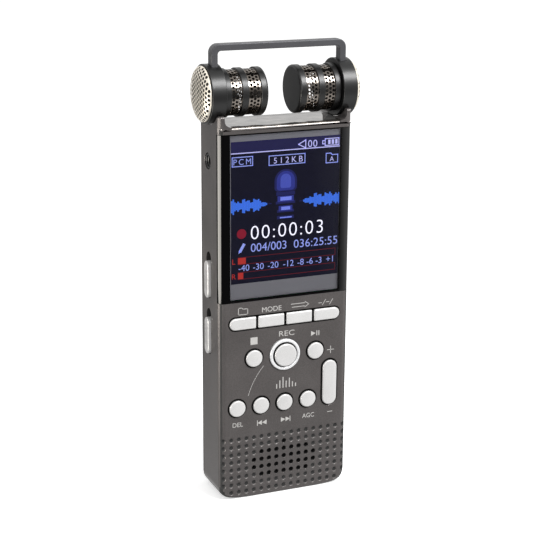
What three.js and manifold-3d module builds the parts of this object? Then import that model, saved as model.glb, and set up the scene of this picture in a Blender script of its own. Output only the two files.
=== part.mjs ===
// A portable field recorder: a slim body with a colour display, a keypad, a loudspeaker and two
// side slide switches, and a pair of microphones that face outwards under a guard bow.
// Millimetres, +Z up. The recorder stands on its bottom face, and the origin is the centre of
// that face. The front looks along -Y, and +X is to the right of a person facing the front.

import * as THREE from "three";
import { mergeVertices } from "three/addons/utils/BufferGeometryUtils.js";
import Module from "manifold-3d";

const wasm = await Module();
wasm.setup();

// ---------- driving dimensions ----------

const BODY = { width: 42.4, depth: 17.5, top: 117, frontRound: 2, backRound: 2.6, edgeRound: 1.1 };
const HALF_W = BODY.width / 2;
const FRONT_Y = -BODY.depth / 2;
const BACK_Y = BODY.depth / 2;
const WALL = 1.6; // front and back walls
const SIDE_WALL = 1.8; // sides, top and bottom
const INNER_Y = FRONT_Y + WALL;
const INNER_X = HALF_W - SIDE_WALL;
const CEILING = BODY.top - SIDE_WALL;
const PART_Y = 5.9; // plane where the front and rear shells meet
const SEAM = 0.1; // half of the gap at that plane
const GAP = 0.3; // clearance round a moving piece
const FIT = 0.15; // clearance round a fixed insert
const OVER = 1; // how far a cutting tool runs past what it cuts

const HORN = { inner: 19.4, foot: 17.2, top: 120.2, edgeRound: 0.6, straight: 0.8, root: 4 };
// the bottom edge in front view: flat, then a curve with these two control points up to the side
const FOOT = { flat: 11, near: [18.5, 0.15], far: [20.9, 0.7], rise: 4.5 };

const LENS = { bottom: 64.05, top: 114.75, face: 1.1, wrap: 2, rail: 2 };
const LCD = { halfWidth: 17.8, bottom: 64.5, top: 114.3, glass: 1.4, backlight: 1, gap: 0.3 };
const LEDGE = { y: -5.6, bottom: 62.3 }; // inner face of the thicker wall behind the lens

const CAP_Y = INNER_Y + GAP; // front face of a button's flange
const FLANGE = { thick: 0.5, lip: 0.7 };
const CAP = { round: 0.5, crown: 0.15, pusher: 0.9, bevel: 0.35 };
const SOFT_KEYS = { count: 4, rowWidth: 36.2, height: 4, gap: 0.6, z: 57.2, raise: 0.6, corner: 0.4 };
const RECORD = { z: 45.75, radius: 3.9, raise: 1.3 };
const RECORD_RING = { outer: 5, inner: 4.2, raise: 0.6, lip: 0.6 };
const TRANSPORT = { radius: 2.8, raise: 0.8, offset: 10.15 };
const SMALL_KEYS = { radius: 2.75, raise: 0.8, z: 30.2, pitch: 7.8 };
const SMALL_KEY_NAMES = ["delete", "back", "forward", "gain"]; // from left to right
const ROCKER = { x: 15.05, z: 34.75, width: 5, height: 14.9, raise: 0.8, lip: 0.6, setBack: 0.25 };

const SPEAKER = {
  z: 11.08,
  pitch: 2.5, // of the holes and dimples
  holeRadius: 0.72,
  radius: 8.6,
  gauze: 0.15,
  basket: { front: -6.7, rim: -4.4, waist: -3.6, back: -2.4, magnet: 5 },
  cone: { front: -6.45, dome: -6, back: -5, edge: 6.6, skin: 0.25 },
};
// each row's half-count of holes, and its height in pitches, from the top row down
const SPEAKER_ROWS = [[0, 2.5], [3, 1.5], [4, 0.5], [4, -0.5], [3, -1.5]];

const JACK = { y: 1, z: 105.6, mouth: 2.52, nose: 2.35, bore: 1.8, sink: 0.25, inner: -8, half: 2.6 };
const USB = { y: 1.1, z: 104, height: 7.6, depth: 2.8, wall: 0.3, sink: 0.4, inner: 14 };
const SLIDE = { y: 0.6, slotLength: 14.6, slotWidth: 3.6, knobLength: 11.5, knobWidth: 3.1, raise: 0.9 };
const SLIDE_BOTTOMS = { upper: 63.4, lower: 45.6 };
// widths and lengths here are halves, but for the ribs' pitch
const SLIDE_PARTS = {
  crown: 0.35,
  root: 1.3,
  rib: { pitch: 2.2, raise: 0.2, long: 0.9, thick: 0.3 },
  stem: { wide: 0.8, long: 2.5, reach: 0.1 },
  carrier: { outside: 0.25, inside: 0.8, wide: 2.3, overlap: 1.6 },
  housing: { left: -18.3, right: -14.2, wide: 2.2, inset: 0.7 },
};

const MIC_Z = 125.7; // axis of both microphones, along X
// distances along that axis are from the middle of the recorder outwards
const BARREL = { radius: 7, bore: 6.55, from: 5, to: 7.2, chamfer: 0.7, face: 0.9 };
const BARREL_RING = [11.1, 13.1];
const BARREL_BASE = [16.4, 18.2];
const SLEEVE = { radius: 6.35, wall: 0.35, from: 6.2, to: 18.1 };
const COLLAR = { radius: 8.7, bore: 5.6, from: 18.4, to: 22.9, bevel: 0.25 };
const GRILLE = { radius: 8.15, from: 23.1, to: 25, wall: 0.4, steps: 5 };
const CAPSULE = { radius: 5.2, from: 14, to: 21.6 };

const BOW = { outer: 21.3, bar: 2, top: 140.3, foot: 132.9, front: -3.2, depth: 3.2 };
const BOW_ROUND = { outer: 2.6, inner: 1, bevel: 0.3 };

const BOARD = { halfWidth: 19, bottom: 21.8, top: 114.8, front: -4.3, thick: 1.2 };
const MAT = { halfWidth: 18.9, bottom: 25.2, top: 60, front: -5.55, thick: 0.8, contact: 1 };
const BATTERY = { left: -13, right: 17, bottom: 22, top: 98.5, front: -1.6, back: 5, round: 1.2 };

// screw places are [x, z]
const REAR_SCREWS = [[-16.6, 6.5], [16.6, 6.5], [-16.6, 111.6], [16.6, 111.6]];
const REAR_SCREW = { shank: 0.8, head: 1.7, headDepth: 1, tip: 0, sink: 0.3 };
const REAR_BOSS = { inner: 14.4, front: -2, reach: 2.6, radius: 2.4 };
const BOARD_SCREWS = [[-17, 23.5], [17, 23.5], [-17.6, 61.6], [17.6, 61.6]];
const BOARD_SCREW = { shank: 0.6, head: 1.15, headDepth: 0.6, tip: -5.9 };
const POST = { radius: 1.3, root: 0.5 }; // a post for a board screw, rooted in the front wall
const SCREW_ROOM = 0.2; // clearance round a screw or a stem

const ARC = 3; // segments in a quarter round of a small radius
const ROUND = 16; // segments round a small button, rod or screw
const BIG_ROUND = 28; // segments round a microphone or the record button

// ---------- finishes ----------

const FINISHES = {
  shell: { color: 0x56504f, roughness: 0.42, metalness: 0.6 },
  lens: { color: 0x07070a, roughness: 0.05, metalness: 0 },
  display: { color: 0x10131c, roughness: 0.2, metalness: 0 },
  silver: { color: 0xdedee0, roughness: 0.35, metalness: 0.4 },
  chrome: { color: 0xd8d8da, roughness: 0.15, metalness: 1 },
  gunmetal: { color: 0x2b2a2c, roughness: 0.3, metalness: 0.9 },
  mesh: { color: 0xcfc9bb, roughness: 0.3, metalness: 0.9 },
  bow: { color: 0x444447, roughness: 0.45, metalness: 0.5 },
  blackPlastic: { color: 0x17171a, roughness: 0.6, metalness: 0 },
  rubber: { color: 0x2b2b2d, roughness: 0.9, metalness: 0 },
  board: { color: 0x1c5a36, roughness: 0.5, metalness: 0 },
  foil: { color: 0x9fa6ae, roughness: 0.4, metalness: 0.7 },
  steel: { color: 0xa4a6a8, roughness: 0.3, metalness: 1 },
  paper: { color: 0x33312e, roughness: 0.9, metalness: 0 },
};

const materials = {};
for (const [name, values] of Object.entries(FINISHES)) {
  materials[name] = new THREE.MeshStandardMaterial(values);
}

// ---------- solids ----------

/** Welds a closed geometry and turns it into a solid for joining and cutting. */
function toSolid(geometry) {
  const bare = geometry.index ? geometry.toNonIndexed() : geometry.clone();
  bare.deleteAttribute("normal");
  bare.deleteAttribute("uv");
  const welded = mergeVertices(bare, 1e-4);
  const position = welded.attributes.position.array;
  const kept = [];
  let volume = 0;
  for (let i = 0; i < welded.index.count; i += 3) {
    const [a, b, c] = [0, 1, 2].map((k) => welded.index.array[i + k]);
    if (a === b || b === c || a === c) continue;
    kept.push(a, b, c);
    const [p, q, r] = [a, b, c].map((v) => new THREE.Vector3().fromArray(position, 3 * v));
    volume += p.dot(q.cross(r));
  }
  if (volume < 0) kept.reverse();
  return new wasm.Manifold(
    new wasm.Mesh({ numProp: 3, vertProperties: position, triVerts: Uint32Array.from(kept) }),
  );
}

/** Turns a solid back into a geometry. */
function toGeometry(solid) {
  const { vertProperties, triVerts } = solid.getMesh();
  const geometry = new THREE.BufferGeometry();
  geometry.setAttribute("position", new THREE.BufferAttribute(vertProperties, 3));
  geometry.setIndex(new THREE.BufferAttribute(triVerts, 1));
  geometry.computeVertexNormals();
  return geometry;
}

/** A box solid between two corners. */
function block(x0, x1, y0, y1, z0, z1) {
  const geometry = new THREE.BoxGeometry(x1 - x0, y1 - y0, z1 - z0);
  return toSolid(geometry.translate((x0 + x1) / 2, (y0 + y1) / 2, (z0 + z1) / 2));
}

/** A profile of [radius, y] pairs turned round the Y axis. */
function turnY(profile, segments = ROUND) {
  return new THREE.LatheGeometry(profile.map(([radius, y]) => new THREE.Vector2(radius, y)), segments);
}

/** A profile of [radius, distance] pairs turned round the microphones' axis; side is -1 or 1. */
function turnMic(profile, side) {
  const geometry = turnY(profile, BIG_ROUND).rotateZ((-side * Math.PI) / 2);
  return geometry.translate(0, 0, MIC_Z);
}

/** A cylinder solid along Y from y0 to y1. */
function rodY(radius, x, z, y0, y1, segments = ROUND) {
  return toSolid(turnY([[0, y0], [radius, y0], [radius, y1], [0, y1]], segments).translate(x, 0, z));
}

/** A cylinder solid along X from x0 to x1. */
function rodX(radius, y, z, x0, x1) {
  const geometry = turnY([[0, x0], [radius, x0], [radius, x1], [0, x1]]).rotateZ(-Math.PI / 2);
  return toSolid(geometry.translate(0, y, z));
}

/** Extrudes a shape drawn in X and Z along Y, from y0 to y1. */
function extrudeY(shape, y0, y1) {
  const options = { depth: y1 - y0, bevelEnabled: false, curveSegments: ARC };
  return toSolid(new THREE.ExtrudeGeometry(shape, options).rotateX(Math.PI / 2).translate(0, y1, 0));
}

/** Extrudes a shape drawn in Y and Z along X, from x0 to x1. */
function extrudeX(shape, x0, x1) {
  const options = { depth: x1 - x0, bevelEnabled: false, curveSegments: ARC };
  const turn = new THREE.Matrix4().makeBasis(
    new THREE.Vector3(0, 1, 0),
    new THREE.Vector3(0, 0, 1),
    new THREE.Vector3(1, 0, 0),
  );
  return toSolid(new THREE.ExtrudeGeometry(shape, options).applyMatrix4(turn).translate(x0, 0, 0));
}

/** A rectangle with a radius at each corner: lower left, lower right, upper right, upper left. */
function roundedRect(x0, x1, y0, y1, radii) {
  const corners = [[x0, y0, 1, 1], [x1, y0, -1, 1], [x1, y1, -1, -1], [x0, y1, 1, -1]];
  const shape = new THREE.Shape();
  corners.forEach(([x, y, toCentreX, toCentreY], i) => {
    const r = radii[i];
    const start = Math.PI + (i * Math.PI) / 2;
    if (r > 0) shape.absarc(x + toCentreX * r, y + toCentreY * r, r, start, start + Math.PI / 2);
    else if (i === 0) shape.moveTo(x, y);
    else shape.lineTo(x, y);
  });
  return shape;
}

/** A slot with semicircular ends, centred on (x, y). */
function stadium(x, y, width, height) {
  const r = Math.min(width, height) / 2;
  return roundedRect(x - width / 2, x + width / 2, y - height / 2, y + height / 2, [r, r, r, r]);
}

/** Joins solids into one. */
function join(solids) {
  return solids.reduce((whole, solid) => whole.add(solid));
}

/** Cuts each of the tools out of a solid. */
function cut(solid, tools) {
  return tools.reduce((left, tool) => left.subtract(tool), solid);
}

// ---------- the object ----------

const recorder = new THREE.Group();

/** Adds one named piece to the recorder. */
function add(name, shape, finish, position = [0, 0, 0]) {
  const geometry = toGeometry(shape.isBufferGeometry ? toSolid(shape) : shape);
  const mesh = new THREE.Mesh(geometry, materials[finish]);
  mesh.name = name;
  mesh.position.set(...position);
  recorder.add(mesh);
}

/** The front outline of the body, in X and Z: straight sides on a softly curved foot. */
function faceOutline() {
  const { flat, near, far, rise } = FOOT;
  const wide = HALF_W + OVER;
  const high = BODY.top + OVER;
  const shape = new THREE.Shape();
  shape.moveTo(-flat, 0);
  shape.lineTo(flat, 0);
  shape.bezierCurveTo(...near, ...far, HALF_W, rise);
  shape.lineTo(wide, rise);
  shape.lineTo(wide, high);
  shape.lineTo(-wide, high);
  shape.lineTo(-wide, rise);
  shape.lineTo(-HALF_W, rise);
  shape.bezierCurveTo(-far[0], far[1], -near[0], near[1], -flat, 0);
  return shape;
}

/** The whole outer form of the body: a rounded slab with two horns that cradle the microphones. */
function bodyForm() {
  const { frontRound, backRound, edgeRound, top } = BODY;
  const plan = (height) => {
    const radii = [frontRound, frontRound, backRound, backRound];
    const outline = roundedRect(-HALF_W, HALF_W, FRONT_Y, BACK_Y, radii);
    const options = { depth: height, bevelEnabled: false, curveSegments: ARC };
    return toSolid(new THREE.ExtrudeGeometry(outline, options));
  };
  const profile = (height, round) => {
    const outline = roundedRect(FRONT_Y, BACK_Y, 0, height, [edgeRound, edgeRound, round, round]);
    return extrudeX(outline, -HALF_W - OVER, HALF_W + OVER);
  };
  const face = extrudeY(faceOutline(), FRONT_Y - OVER, BACK_Y + OVER);
  const slab = plan(top).intersect(profile(top, edgeRound)).intersect(face);
  const tall = plan(HORN.top).intersect(profile(HORN.top, HORN.edgeRound));
  const horns = [-1, 1].map((side) => {
    const outline = new THREE.Shape();
    outline.moveTo(side * HORN.foot, top);
    outline.quadraticCurveTo(side * HORN.inner, top, side * HORN.inner, HORN.top - HORN.straight);
    outline.lineTo(side * HORN.inner, HORN.top + OVER);
    outline.lineTo(side * (HALF_W + OVER), HORN.top + OVER);
    outline.lineTo(side * (HALF_W + OVER), top - HORN.root);
    outline.lineTo(side * HORN.foot, top - HORN.root);
    return tall.intersect(extrudeY(outline, FRONT_Y - OVER, BACK_Y + OVER));
  });
  const cradles = [-1, 1].map((side) => {
    const radius = COLLAR.radius + GAP;
    const [from, to] = [COLLAR.from - GAP, COLLAR.to + OVER];
    return toSolid(turnMic([[0, from], [radius, from], [radius, to], [0, to]], side));
  });
  return cut(join([slab, ...horns]), cradles);
}

/** The body's hollow between two planes across Y. */
function hollow(y0, y1, top) {
  return block(-INNER_X, INNER_X, y0, y1, SIDE_WALL, top);
}

/** Each soft key's [left, right], from left to right. */
function softKeySpans() {
  const { count, rowWidth, gap } = SOFT_KEYS;
  const width = (rowWidth - (count - 1) * gap) / count;
  return Array.from({ length: count }, (_, i) => {
    const left = i * (width + gap) - rowWidth / 2;
    return [left, left + width];
  });
}

/** Every plain round button: its name, place and cap. */
function roundButtons() {
  const { pitch, ...cap } = SMALL_KEYS;
  const small = SMALL_KEY_NAMES.map((name, i) => ({ name: `${name}_button`, x: (i - 2) * pitch, ...cap }));
  const transport = [["stop_button", -1], ["play_button", 1]].map(([name, side]) => ({
    name,
    x: side * TRANSPORT.offset,
    z: RECORD.z,
    radius: TRANSPORT.radius,
    raise: TRANSPORT.raise,
  }));
  return [...transport, ...small];
}

/** The outline of the USB socket's mouth in Y and Z, grown by a margin. */
function usbOutline(margin) {
  const side = USB.depth / 2 + margin;
  const half = USB.height / 2 + margin;
  return roundedRect(USB.y - side, USB.y + side, USB.z - half, USB.z + half, [1, 0.4, 0.4, 1]);
}

/** The holes through the front wall for keys, buttons and sound. */
function frontHoles() {
  const [from, to] = [FRONT_Y - OVER, INNER_Y + OVER];
  const { rowWidth, height, z } = SOFT_KEYS;
  const sound = SPEAKER_ROWS.flatMap(([half, level]) =>
    Array.from({ length: 2 * half + 1 }, (_, i) =>
      rodY(SPEAKER.holeRadius, (i - half) * SPEAKER.pitch, SPEAKER.z + level * SPEAKER.pitch, from, to, 6)));
  return [
    extrudeY(stadium(0, z, rowWidth + 2 * GAP, height + 2 * GAP), from, to),
    extrudeY(stadium(ROCKER.x, ROCKER.z, ROCKER.width + 2 * GAP, ROCKER.height + 2 * GAP), from, to),
    rodY(RECORD_RING.outer + FIT, 0, RECORD.z, from, to, BIG_ROUND),
    ...roundButtons().map((button) => rodY(button.radius + GAP, button.x, button.z, from, to)),
    ...sound,
  ];
}

/** The openings in the two sides for sockets and slide switches. */
function sideHoles() {
  const { y, slotLength, slotWidth } = SLIDE;
  const slots = Object.values(SLIDE_BOTTOMS).map((bottom) =>
    extrudeX(stadium(y, bottom + slotLength / 2, slotWidth, slotLength), -HALF_W - OVER, OVER - INNER_X));
  const jack = rodX(JACK.mouth, JACK.y, JACK.z, -HALF_W - OVER, OVER - INNER_X);
  return [...slots, jack, extrudeX(usbOutline(FIT), INNER_X - OVER, HALF_W + OVER)];
}

function frontShell(form) {
  const wide = HALF_W + OVER;
  const opening = LCD.halfWidth + LCD.gap;
  const cuts = [
    block(-wide, wide, PART_Y - SEAM, BACK_Y + OVER, -OVER, HORN.top + OVER),
    hollow(INNER_Y, PART_Y, LEDGE.bottom),
    hollow(LEDGE.y, PART_Y, CEILING),
    block(-wide, wide, FRONT_Y - OVER, FRONT_Y + LENS.wrap + FIT, LENS.bottom - FIT, LENS.top + FIT),
    block(-opening, opening, FRONT_Y, 0, LCD.bottom - LCD.gap, LCD.top + LCD.gap),
    ...frontHoles(),
    ...sideHoles(),
  ];
  const bosses = REAR_SCREWS.map(([x, z]) => {
    const { inner, front, reach } = REAR_BOSS;
    const [left, right] = x < 0 ? [OVER - HALF_W, -inner] : [inner, HALF_W - OVER];
    const [low, high] = z > BODY.top / 2 ? [z - reach, BODY.top - OVER] : [OVER, z + reach];
    return block(left, right, front, PART_Y - SEAM, low, high);
  });
  const [root, tip] = [INNER_Y - POST.root, BOARD.front - SCREW_ROOM];
  const posts = BOARD_SCREWS.map(([x, z]) => rodY(POST.radius, x, z, root, tip));
  const rearShank = REAR_SCREW.shank + SCREW_ROOM;
  const boardShank = BOARD_SCREW.shank + SCREW_ROOM;
  const holes = [
    ...REAR_SCREWS.map(([x, z]) => rodY(rearShank, x, z, REAR_SCREW.tip - OVER, PART_Y + OVER)),
    ...BOARD_SCREWS.map(([x, z]) => rodY(boardShank, x, z, BOARD_SCREW.tip - GAP, BOARD.front + OVER)),
  ];
  return cut(join([cut(form, cuts), ...bosses, ...posts]), holes);
}

function rearShell(form) {
  const { shank, head, headDepth, sink } = REAR_SCREW;
  const wide = HALF_W + OVER;
  const cuts = [
    block(-wide, wide, FRONT_Y - OVER, PART_Y + SEAM, -OVER, HORN.top + OVER),
    hollow(PART_Y - OVER, BACK_Y - WALL, CEILING),
  ];
  const wall = BACK_Y - WALL / 2;
  const seat = BACK_Y - sink - headDepth - SCREW_ROOM;
  const bosses = REAR_SCREWS.map(([x, z]) => rodY(REAR_BOSS.radius, x, z, PART_Y + SEAM, wall));
  const holes = REAR_SCREWS.flatMap(([x, z]) => [
    rodY(shank + SCREW_ROOM, x, z, PART_Y - OVER, BACK_Y + OVER),
    rodY(head + SCREW_ROOM, x, z, seat, BACK_Y + OVER),
  ]);
  return cut(join([cut(form, cuts), ...bosses]), holes);
}

/** The window: a thin face with a thick rail down each side that wraps the body's corner. */
function displayLens(form) {
  const { bottom, top, face, wrap, rail } = LENS;
  const wide = HALF_W + OVER;
  const slab = block(-wide, wide, FRONT_Y - OVER, FRONT_Y + wrap, bottom, top);
  const half = HALF_W - rail;
  return form.intersect(slab).subtract(block(-half, half, FRONT_Y + face, 0, bottom - OVER, top + OVER));
}

function addDisplay() {
  const { halfWidth, bottom, top, glass, backlight, gap } = LCD;
  const front = FRONT_Y + LENS.face + gap;
  const behind = front + glass + gap;
  add("lcd_panel", block(-halfWidth, halfWidth, front, front + glass, bottom, top), "display");
  add("lcd_backlight", block(-halfWidth, halfWidth, behind, behind + backlight, bottom, top), "foil");
}

/** A round button's profile: a cap with a rounded edge, a flange that holds it in, and a pusher. */
function buttonProfile(radius, raise, flangeY, reach) {
  const face = FRONT_Y - raise;
  const back = flangeY + FLANGE.thick;
  const { round, crown, pusher } = CAP;
  const edge = [0, 1, 2].map((i) => {
    const angle = (i * Math.PI) / 4;
    return [radius - round + round * Math.sin(angle), face + crown + round * (1 - Math.cos(angle))];
  });
  return [
    [0, face],
    ...edge,
    [radius, flangeY],
    [radius + FLANGE.lip, flangeY],
    [radius + FLANGE.lip, back],
    [pusher, back],
    [pusher, back + reach],
    [0, back + reach],
  ];
}

function addRoundButtons() {
  const reach = 0.3;
  for (const { name, x, z, radius, raise } of roundButtons()) {
    add(name, turnY(buttonProfile(radius, raise, CAP_Y, reach)), "silver", [x, 0, z]);
  }
}

function addRecordButton() {
  const { radius, raise, z } = RECORD;
  const { outer, inner, lip } = RECORD_RING;
  const { bevel } = CAP;
  const lipFront = CAP_Y - 0.1;
  const ringBack = CAP_Y + 0.1;
  const face = FRONT_Y - RECORD_RING.raise;
  const ring = [
    [inner, ringBack],
    [inner, face + bevel],
    [inner + bevel, face],
    [outer - bevel, face],
    [outer, face + bevel],
    [outer, lipFront],
    [outer + lip, lipFront],
    [outer + lip, ringBack],
    [inner, ringBack],
  ];
  add("record_ring", turnY(ring, BIG_ROUND), "chrome", [0, 0, z]);
  const cap = buttonProfile(radius, raise, ringBack + FIT, 0.1);
  add("record_button", turnY(cap, BIG_ROUND), "silver", [0, 0, z]);
}

/** A key cap with a bevelled front edge, and a flange behind the wall. */
function keyCap(cap, flange, raise, flangeY) {
  const { bevel } = CAP;
  const options = {
    depth: flangeY + FLANGE.thick - FRONT_Y + raise - bevel,
    bevelEnabled: true,
    bevelThickness: bevel,
    bevelSize: bevel,
    bevelOffset: -bevel,
    bevelSegments: 1,
    curveSegments: ARC,
  };
  const solid = new THREE.ExtrudeGeometry(cap, options).rotateX(Math.PI / 2);
  const bar = toSolid(solid.translate(0, flangeY + FLANGE.thick, 0));
  const far = 2 * BODY.top;
  const front = bar.subtract(block(-far, far, flangeY + 0.1, far, -far, far));
  return front.add(extrudeY(flange, flangeY, flangeY + FLANGE.thick));
}

function addSoftKeys() {
  const { height, z, raise, count, corner } = SOFT_KEYS;
  const end = height / 2;
  const lift = end + FLANGE.lip + 0.1;
  softKeySpans().forEach(([left, right], i) => {
    const r0 = i === 0 ? end : corner;
    const r1 = i === count - 1 ? end : corner;
    const cap = roundedRect(left, right, z - end, z + end, [r0, r1, r1, r0]);
    const flange = roundedRect(left, right, z - lift, z + lift, [0, 0, 0, 0]);
    add(`soft_key_${i + 1}`, keyCap(cap, flange, raise, CAP_Y), "silver");
  });
}

function addRocker() {
  const { x, z, width, height, raise, lip, setBack } = ROCKER;
  const cap = stadium(0, 0, width, height);
  const flange = stadium(0, 0, width + 2 * lip, height + 2 * lip);
  add("volume_rocker", keyCap(cap, flange, raise, CAP_Y + setBack), "silver", [x, 0, z]);
}

function addKeypadMat() {
  const { halfWidth, bottom, top, front, thick, contact } = MAT;
  const back = front + thick;
  const reach = ROCKER.height / 3;
  const places = [
    ...roundButtons().map(({ x, z }) => [x, z]),
    ...softKeySpans().map(([left, right]) => [(left + right) / 2, SOFT_KEYS.z]),
    [0, RECORD.z],
    [ROCKER.x, ROCKER.z - reach],
    [ROCKER.x, ROCKER.z + reach],
  ];
  const contacts = places.map(([x, z]) => rodY(contact, x, z, back - 0.1, BOARD.front - FIT, 8));
  add("keypad_mat", join([block(-halfWidth, halfWidth, front, back, bottom, top), ...contacts]), "rubber");
}

function addBoardAndBattery() {
  const { halfWidth, bottom, top, front, thick } = BOARD;
  const back = front + thick;
  const hole = BOARD_SCREW.shank + SCREW_ROOM;
  const holes = BOARD_SCREWS.map(([x, z]) => rodY(hole, x, z, front - OVER, back + OVER));
  add("main_board", cut(block(-halfWidth, halfWidth, front, back, bottom, top), holes), "board");
  const cell = BATTERY;
  const outline = roundedRect(cell.front, cell.back, cell.bottom, cell.top, Array(4).fill(cell.round));
  add("battery", extrudeX(outline, cell.left, cell.right), "foil");
}

function addSpeaker() {
  const { radius, z, gauze, basket, cone } = SPEAKER;
  const skirt = [
    [0, basket.back],
    [0, basket.waist],
    [radius - 1.6, basket.rim - 0.2],
    [radius - 1, basket.front],
    [radius, basket.front],
    [radius, basket.rim],
    [basket.magnet, basket.waist],
    [basket.magnet, basket.back],
  ];
  add("speaker_basket", turnY([...skirt, skirt[0]], BIG_ROUND), "steel", [0, 0, z]);
  const { edge, dome, front, back, skin } = cone;
  const face = [[0, dome], [edge * 0.4, front + 0.6], [edge * 0.45, back - skin], [edge, front]];
  const rear = [[edge, front + skin], [edge * 0.45, back], [0, back]];
  add("speaker_cone", turnY([...face, ...rear], BIG_ROUND), "paper", [0, 0, z]);
  const [cloth, clothBack] = [INNER_Y + 0.1, INNER_Y + 0.1 + gauze];
  add("speaker_gauze", rodY(radius - 0.4, 0, 0, cloth, clothBack), "blackPlastic", [0, 0, z]);
}

function addHeadphoneJack() {
  const { nose, bore, y, z, sink, inner, half } = JACK;
  const mouth = sink - HALF_W;
  const barrel = rodX(nose, 0, 0, mouth, OVER - INNER_X);
  const housing = block(0.4 - INNER_X, inner, -half, half, -half, half);
  const hole = rodX(bore, 0, 0, mouth - OVER, inner - OVER);
  add("headphone_jack", barrel.add(housing).subtract(hole), "blackPlastic", [0, y, z]);
}

function addUsbSocket() {
  const { y, z, height, depth, wall, sink, inner } = USB;
  const mouth = HALF_W - sink;
  const side = depth / 2 - wall;
  const half = height / 2 - wall;
  const can = extrudeX(usbOutline(0), inner, mouth);
  const room = block(inner + OVER, mouth + OVER, y - side, y + side, z - half, z + half);
  const [blade, reach] = [0.6, half - 0.7];
  const tongue = block(inner + 0.5, mouth - 0.8, y - blade - GAP, y - GAP, z - reach, z + reach);
  add("usb_socket", can.subtract(room).add(tongue), "steel");
}

/** A slide switch: the knob, the carrier that it drives behind the wall, and the switch itself. */
function addSlideSwitch(name, bottom) {
  const { y, knobLength, knobWidth, raise, slotLength } = SLIDE;
  const { crown, root, rib, stem, carrier, housing } = SLIDE_PARTS;
  const face = -HALF_W - raise;
  const cap = extrudeX(stadium(0, 0, knobWidth, knobLength), face + crown, root - HALF_W);
  const top = extrudeX(stadium(0, 0, knobWidth - 2 * crown, knobLength - 2 * crown), face, face + OVER);
  const ribs = [-rib.pitch, 0, rib.pitch].map((height) =>
    block(face - rib.raise, face + crown, -rib.long, rib.long, height - rib.thick, height + rib.thick));
  const tang = block(OVER - HALF_W, stem.reach - INNER_X, -stem.wide, stem.wide, -stem.long, stem.long);
  const middle = bottom + GAP + knobLength / 2;
  add(`${name}_slide_knob`, join([cap, top, tang, ...ribs]), "silver", [0, y, middle]);

  const [outside, inside] = [carrier.outside - INNER_X, carrier.inside - INNER_X];
  const reach = knobLength / 2 + carrier.overlap;
  const plate = block(outside, inside, -carrier.wide, carrier.wide, -reach, reach);
  const [wide, long] = [stem.wide + SCREW_ROOM, stem.long + SCREW_ROOM];
  const pocket = block(outside - OVER, inside - GAP, -wide, wide, -long, long);
  add(`${name}_slide_carrier`, plate.subtract(pocket), "blackPlastic", [0, y, middle]);

  const half = slotLength / 2 - housing.inset;
  const centre = bottom + slotLength / 2;
  const [left, right] = [housing.left, housing.right];
  const box = block(left, right, y - housing.wide, y + housing.wide, centre - half, centre + half);
  add(`${name}_switch_housing`, box, "steel");
}

/** A plain ring round the microphones' axis, between two distances from the middle. */
function micRing(outer, inner, [from, to], side) {
  return turnMic([[inner, from], [outer, from], [outer, to], [inner, to], [inner, from]], side);
}

function barrelCap(side) {
  const { radius, bore, from, to, chamfer, face } = BARREL;
  const middle = (1 - Math.SQRT1_2) * chamfer;
  return turnMic([
    [0, from],
    [radius - chamfer, from],
    [radius - middle, from + middle],
    [radius, from + chamfer],
    [radius, to],
    [bore, to],
    [bore, from + face],
    [0, from + face],
  ], side);
}

/** A collar with a bevel on each outer edge and a socket in its top for a leg of the bow. */
function collar(side) {
  const { radius, bore, from, to, bevel } = COLLAR;
  const ring = turnMic([
    [bore, from],
    [radius - bevel, from],
    [radius, from + bevel],
    [radius, to - bevel],
    [radius - bevel, to],
    [bore, to],
    [bore, from],
  ], side);
  const legs = [side * (BOW.outer - BOW.bar - FIT), side * (BOW.outer + FIT)].sort((a, b) => a - b);
  const [front, back] = [BOW.front - FIT, BOW.front + BOW.depth + FIT];
  return toSolid(ring).subtract(block(...legs, front, back, BOW.foot - 0.2, BOW.top));
}

/** A thin domed skin, flattest at its middle. */
function grille(side) {
  const { radius, from, to, wall, steps } = GRILLE;
  const dome = (rim, apex) => Array.from({ length: steps + 1 }, (_, i) => {
    const angle = (i / steps) * (Math.PI / 2);
    if (i === steps) return [0, apex];
    return [rim * Math.cos(angle) ** 0.45, from + (apex - from) * Math.sin(angle) ** 0.9];
  });
  const outside = dome(radius, to);
  const inside = dome(radius - wall, to - wall).reverse();
  return turnMic([...outside, ...inside, outside[0]], side);
}

function addMicrophone(name, side) {
  const { radius, bore } = BARREL;
  add(`${name}_barrel_cap`, barrelCap(side), "gunmetal");
  add(`${name}_barrel_ring`, micRing(radius, bore, BARREL_RING, side), "gunmetal");
  add(`${name}_barrel_base`, micRing(radius, bore, BARREL_BASE, side), "gunmetal");
  const sleeveEnds = [SLEEVE.from, SLEEVE.to];
  add(`${name}_vent_sleeve`, micRing(SLEEVE.radius, SLEEVE.radius - SLEEVE.wall, sleeveEnds, side), "mesh");
  add(`${name}_collar`, collar(side), "gunmetal");
  add(`${name}_grille`, grille(side), "mesh");
  const { radius: can, from, to } = CAPSULE;
  add(`${name}_capsule`, turnMic([[0, from], [can, from], [can, to], [0, to]], side), "steel");
}

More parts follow.
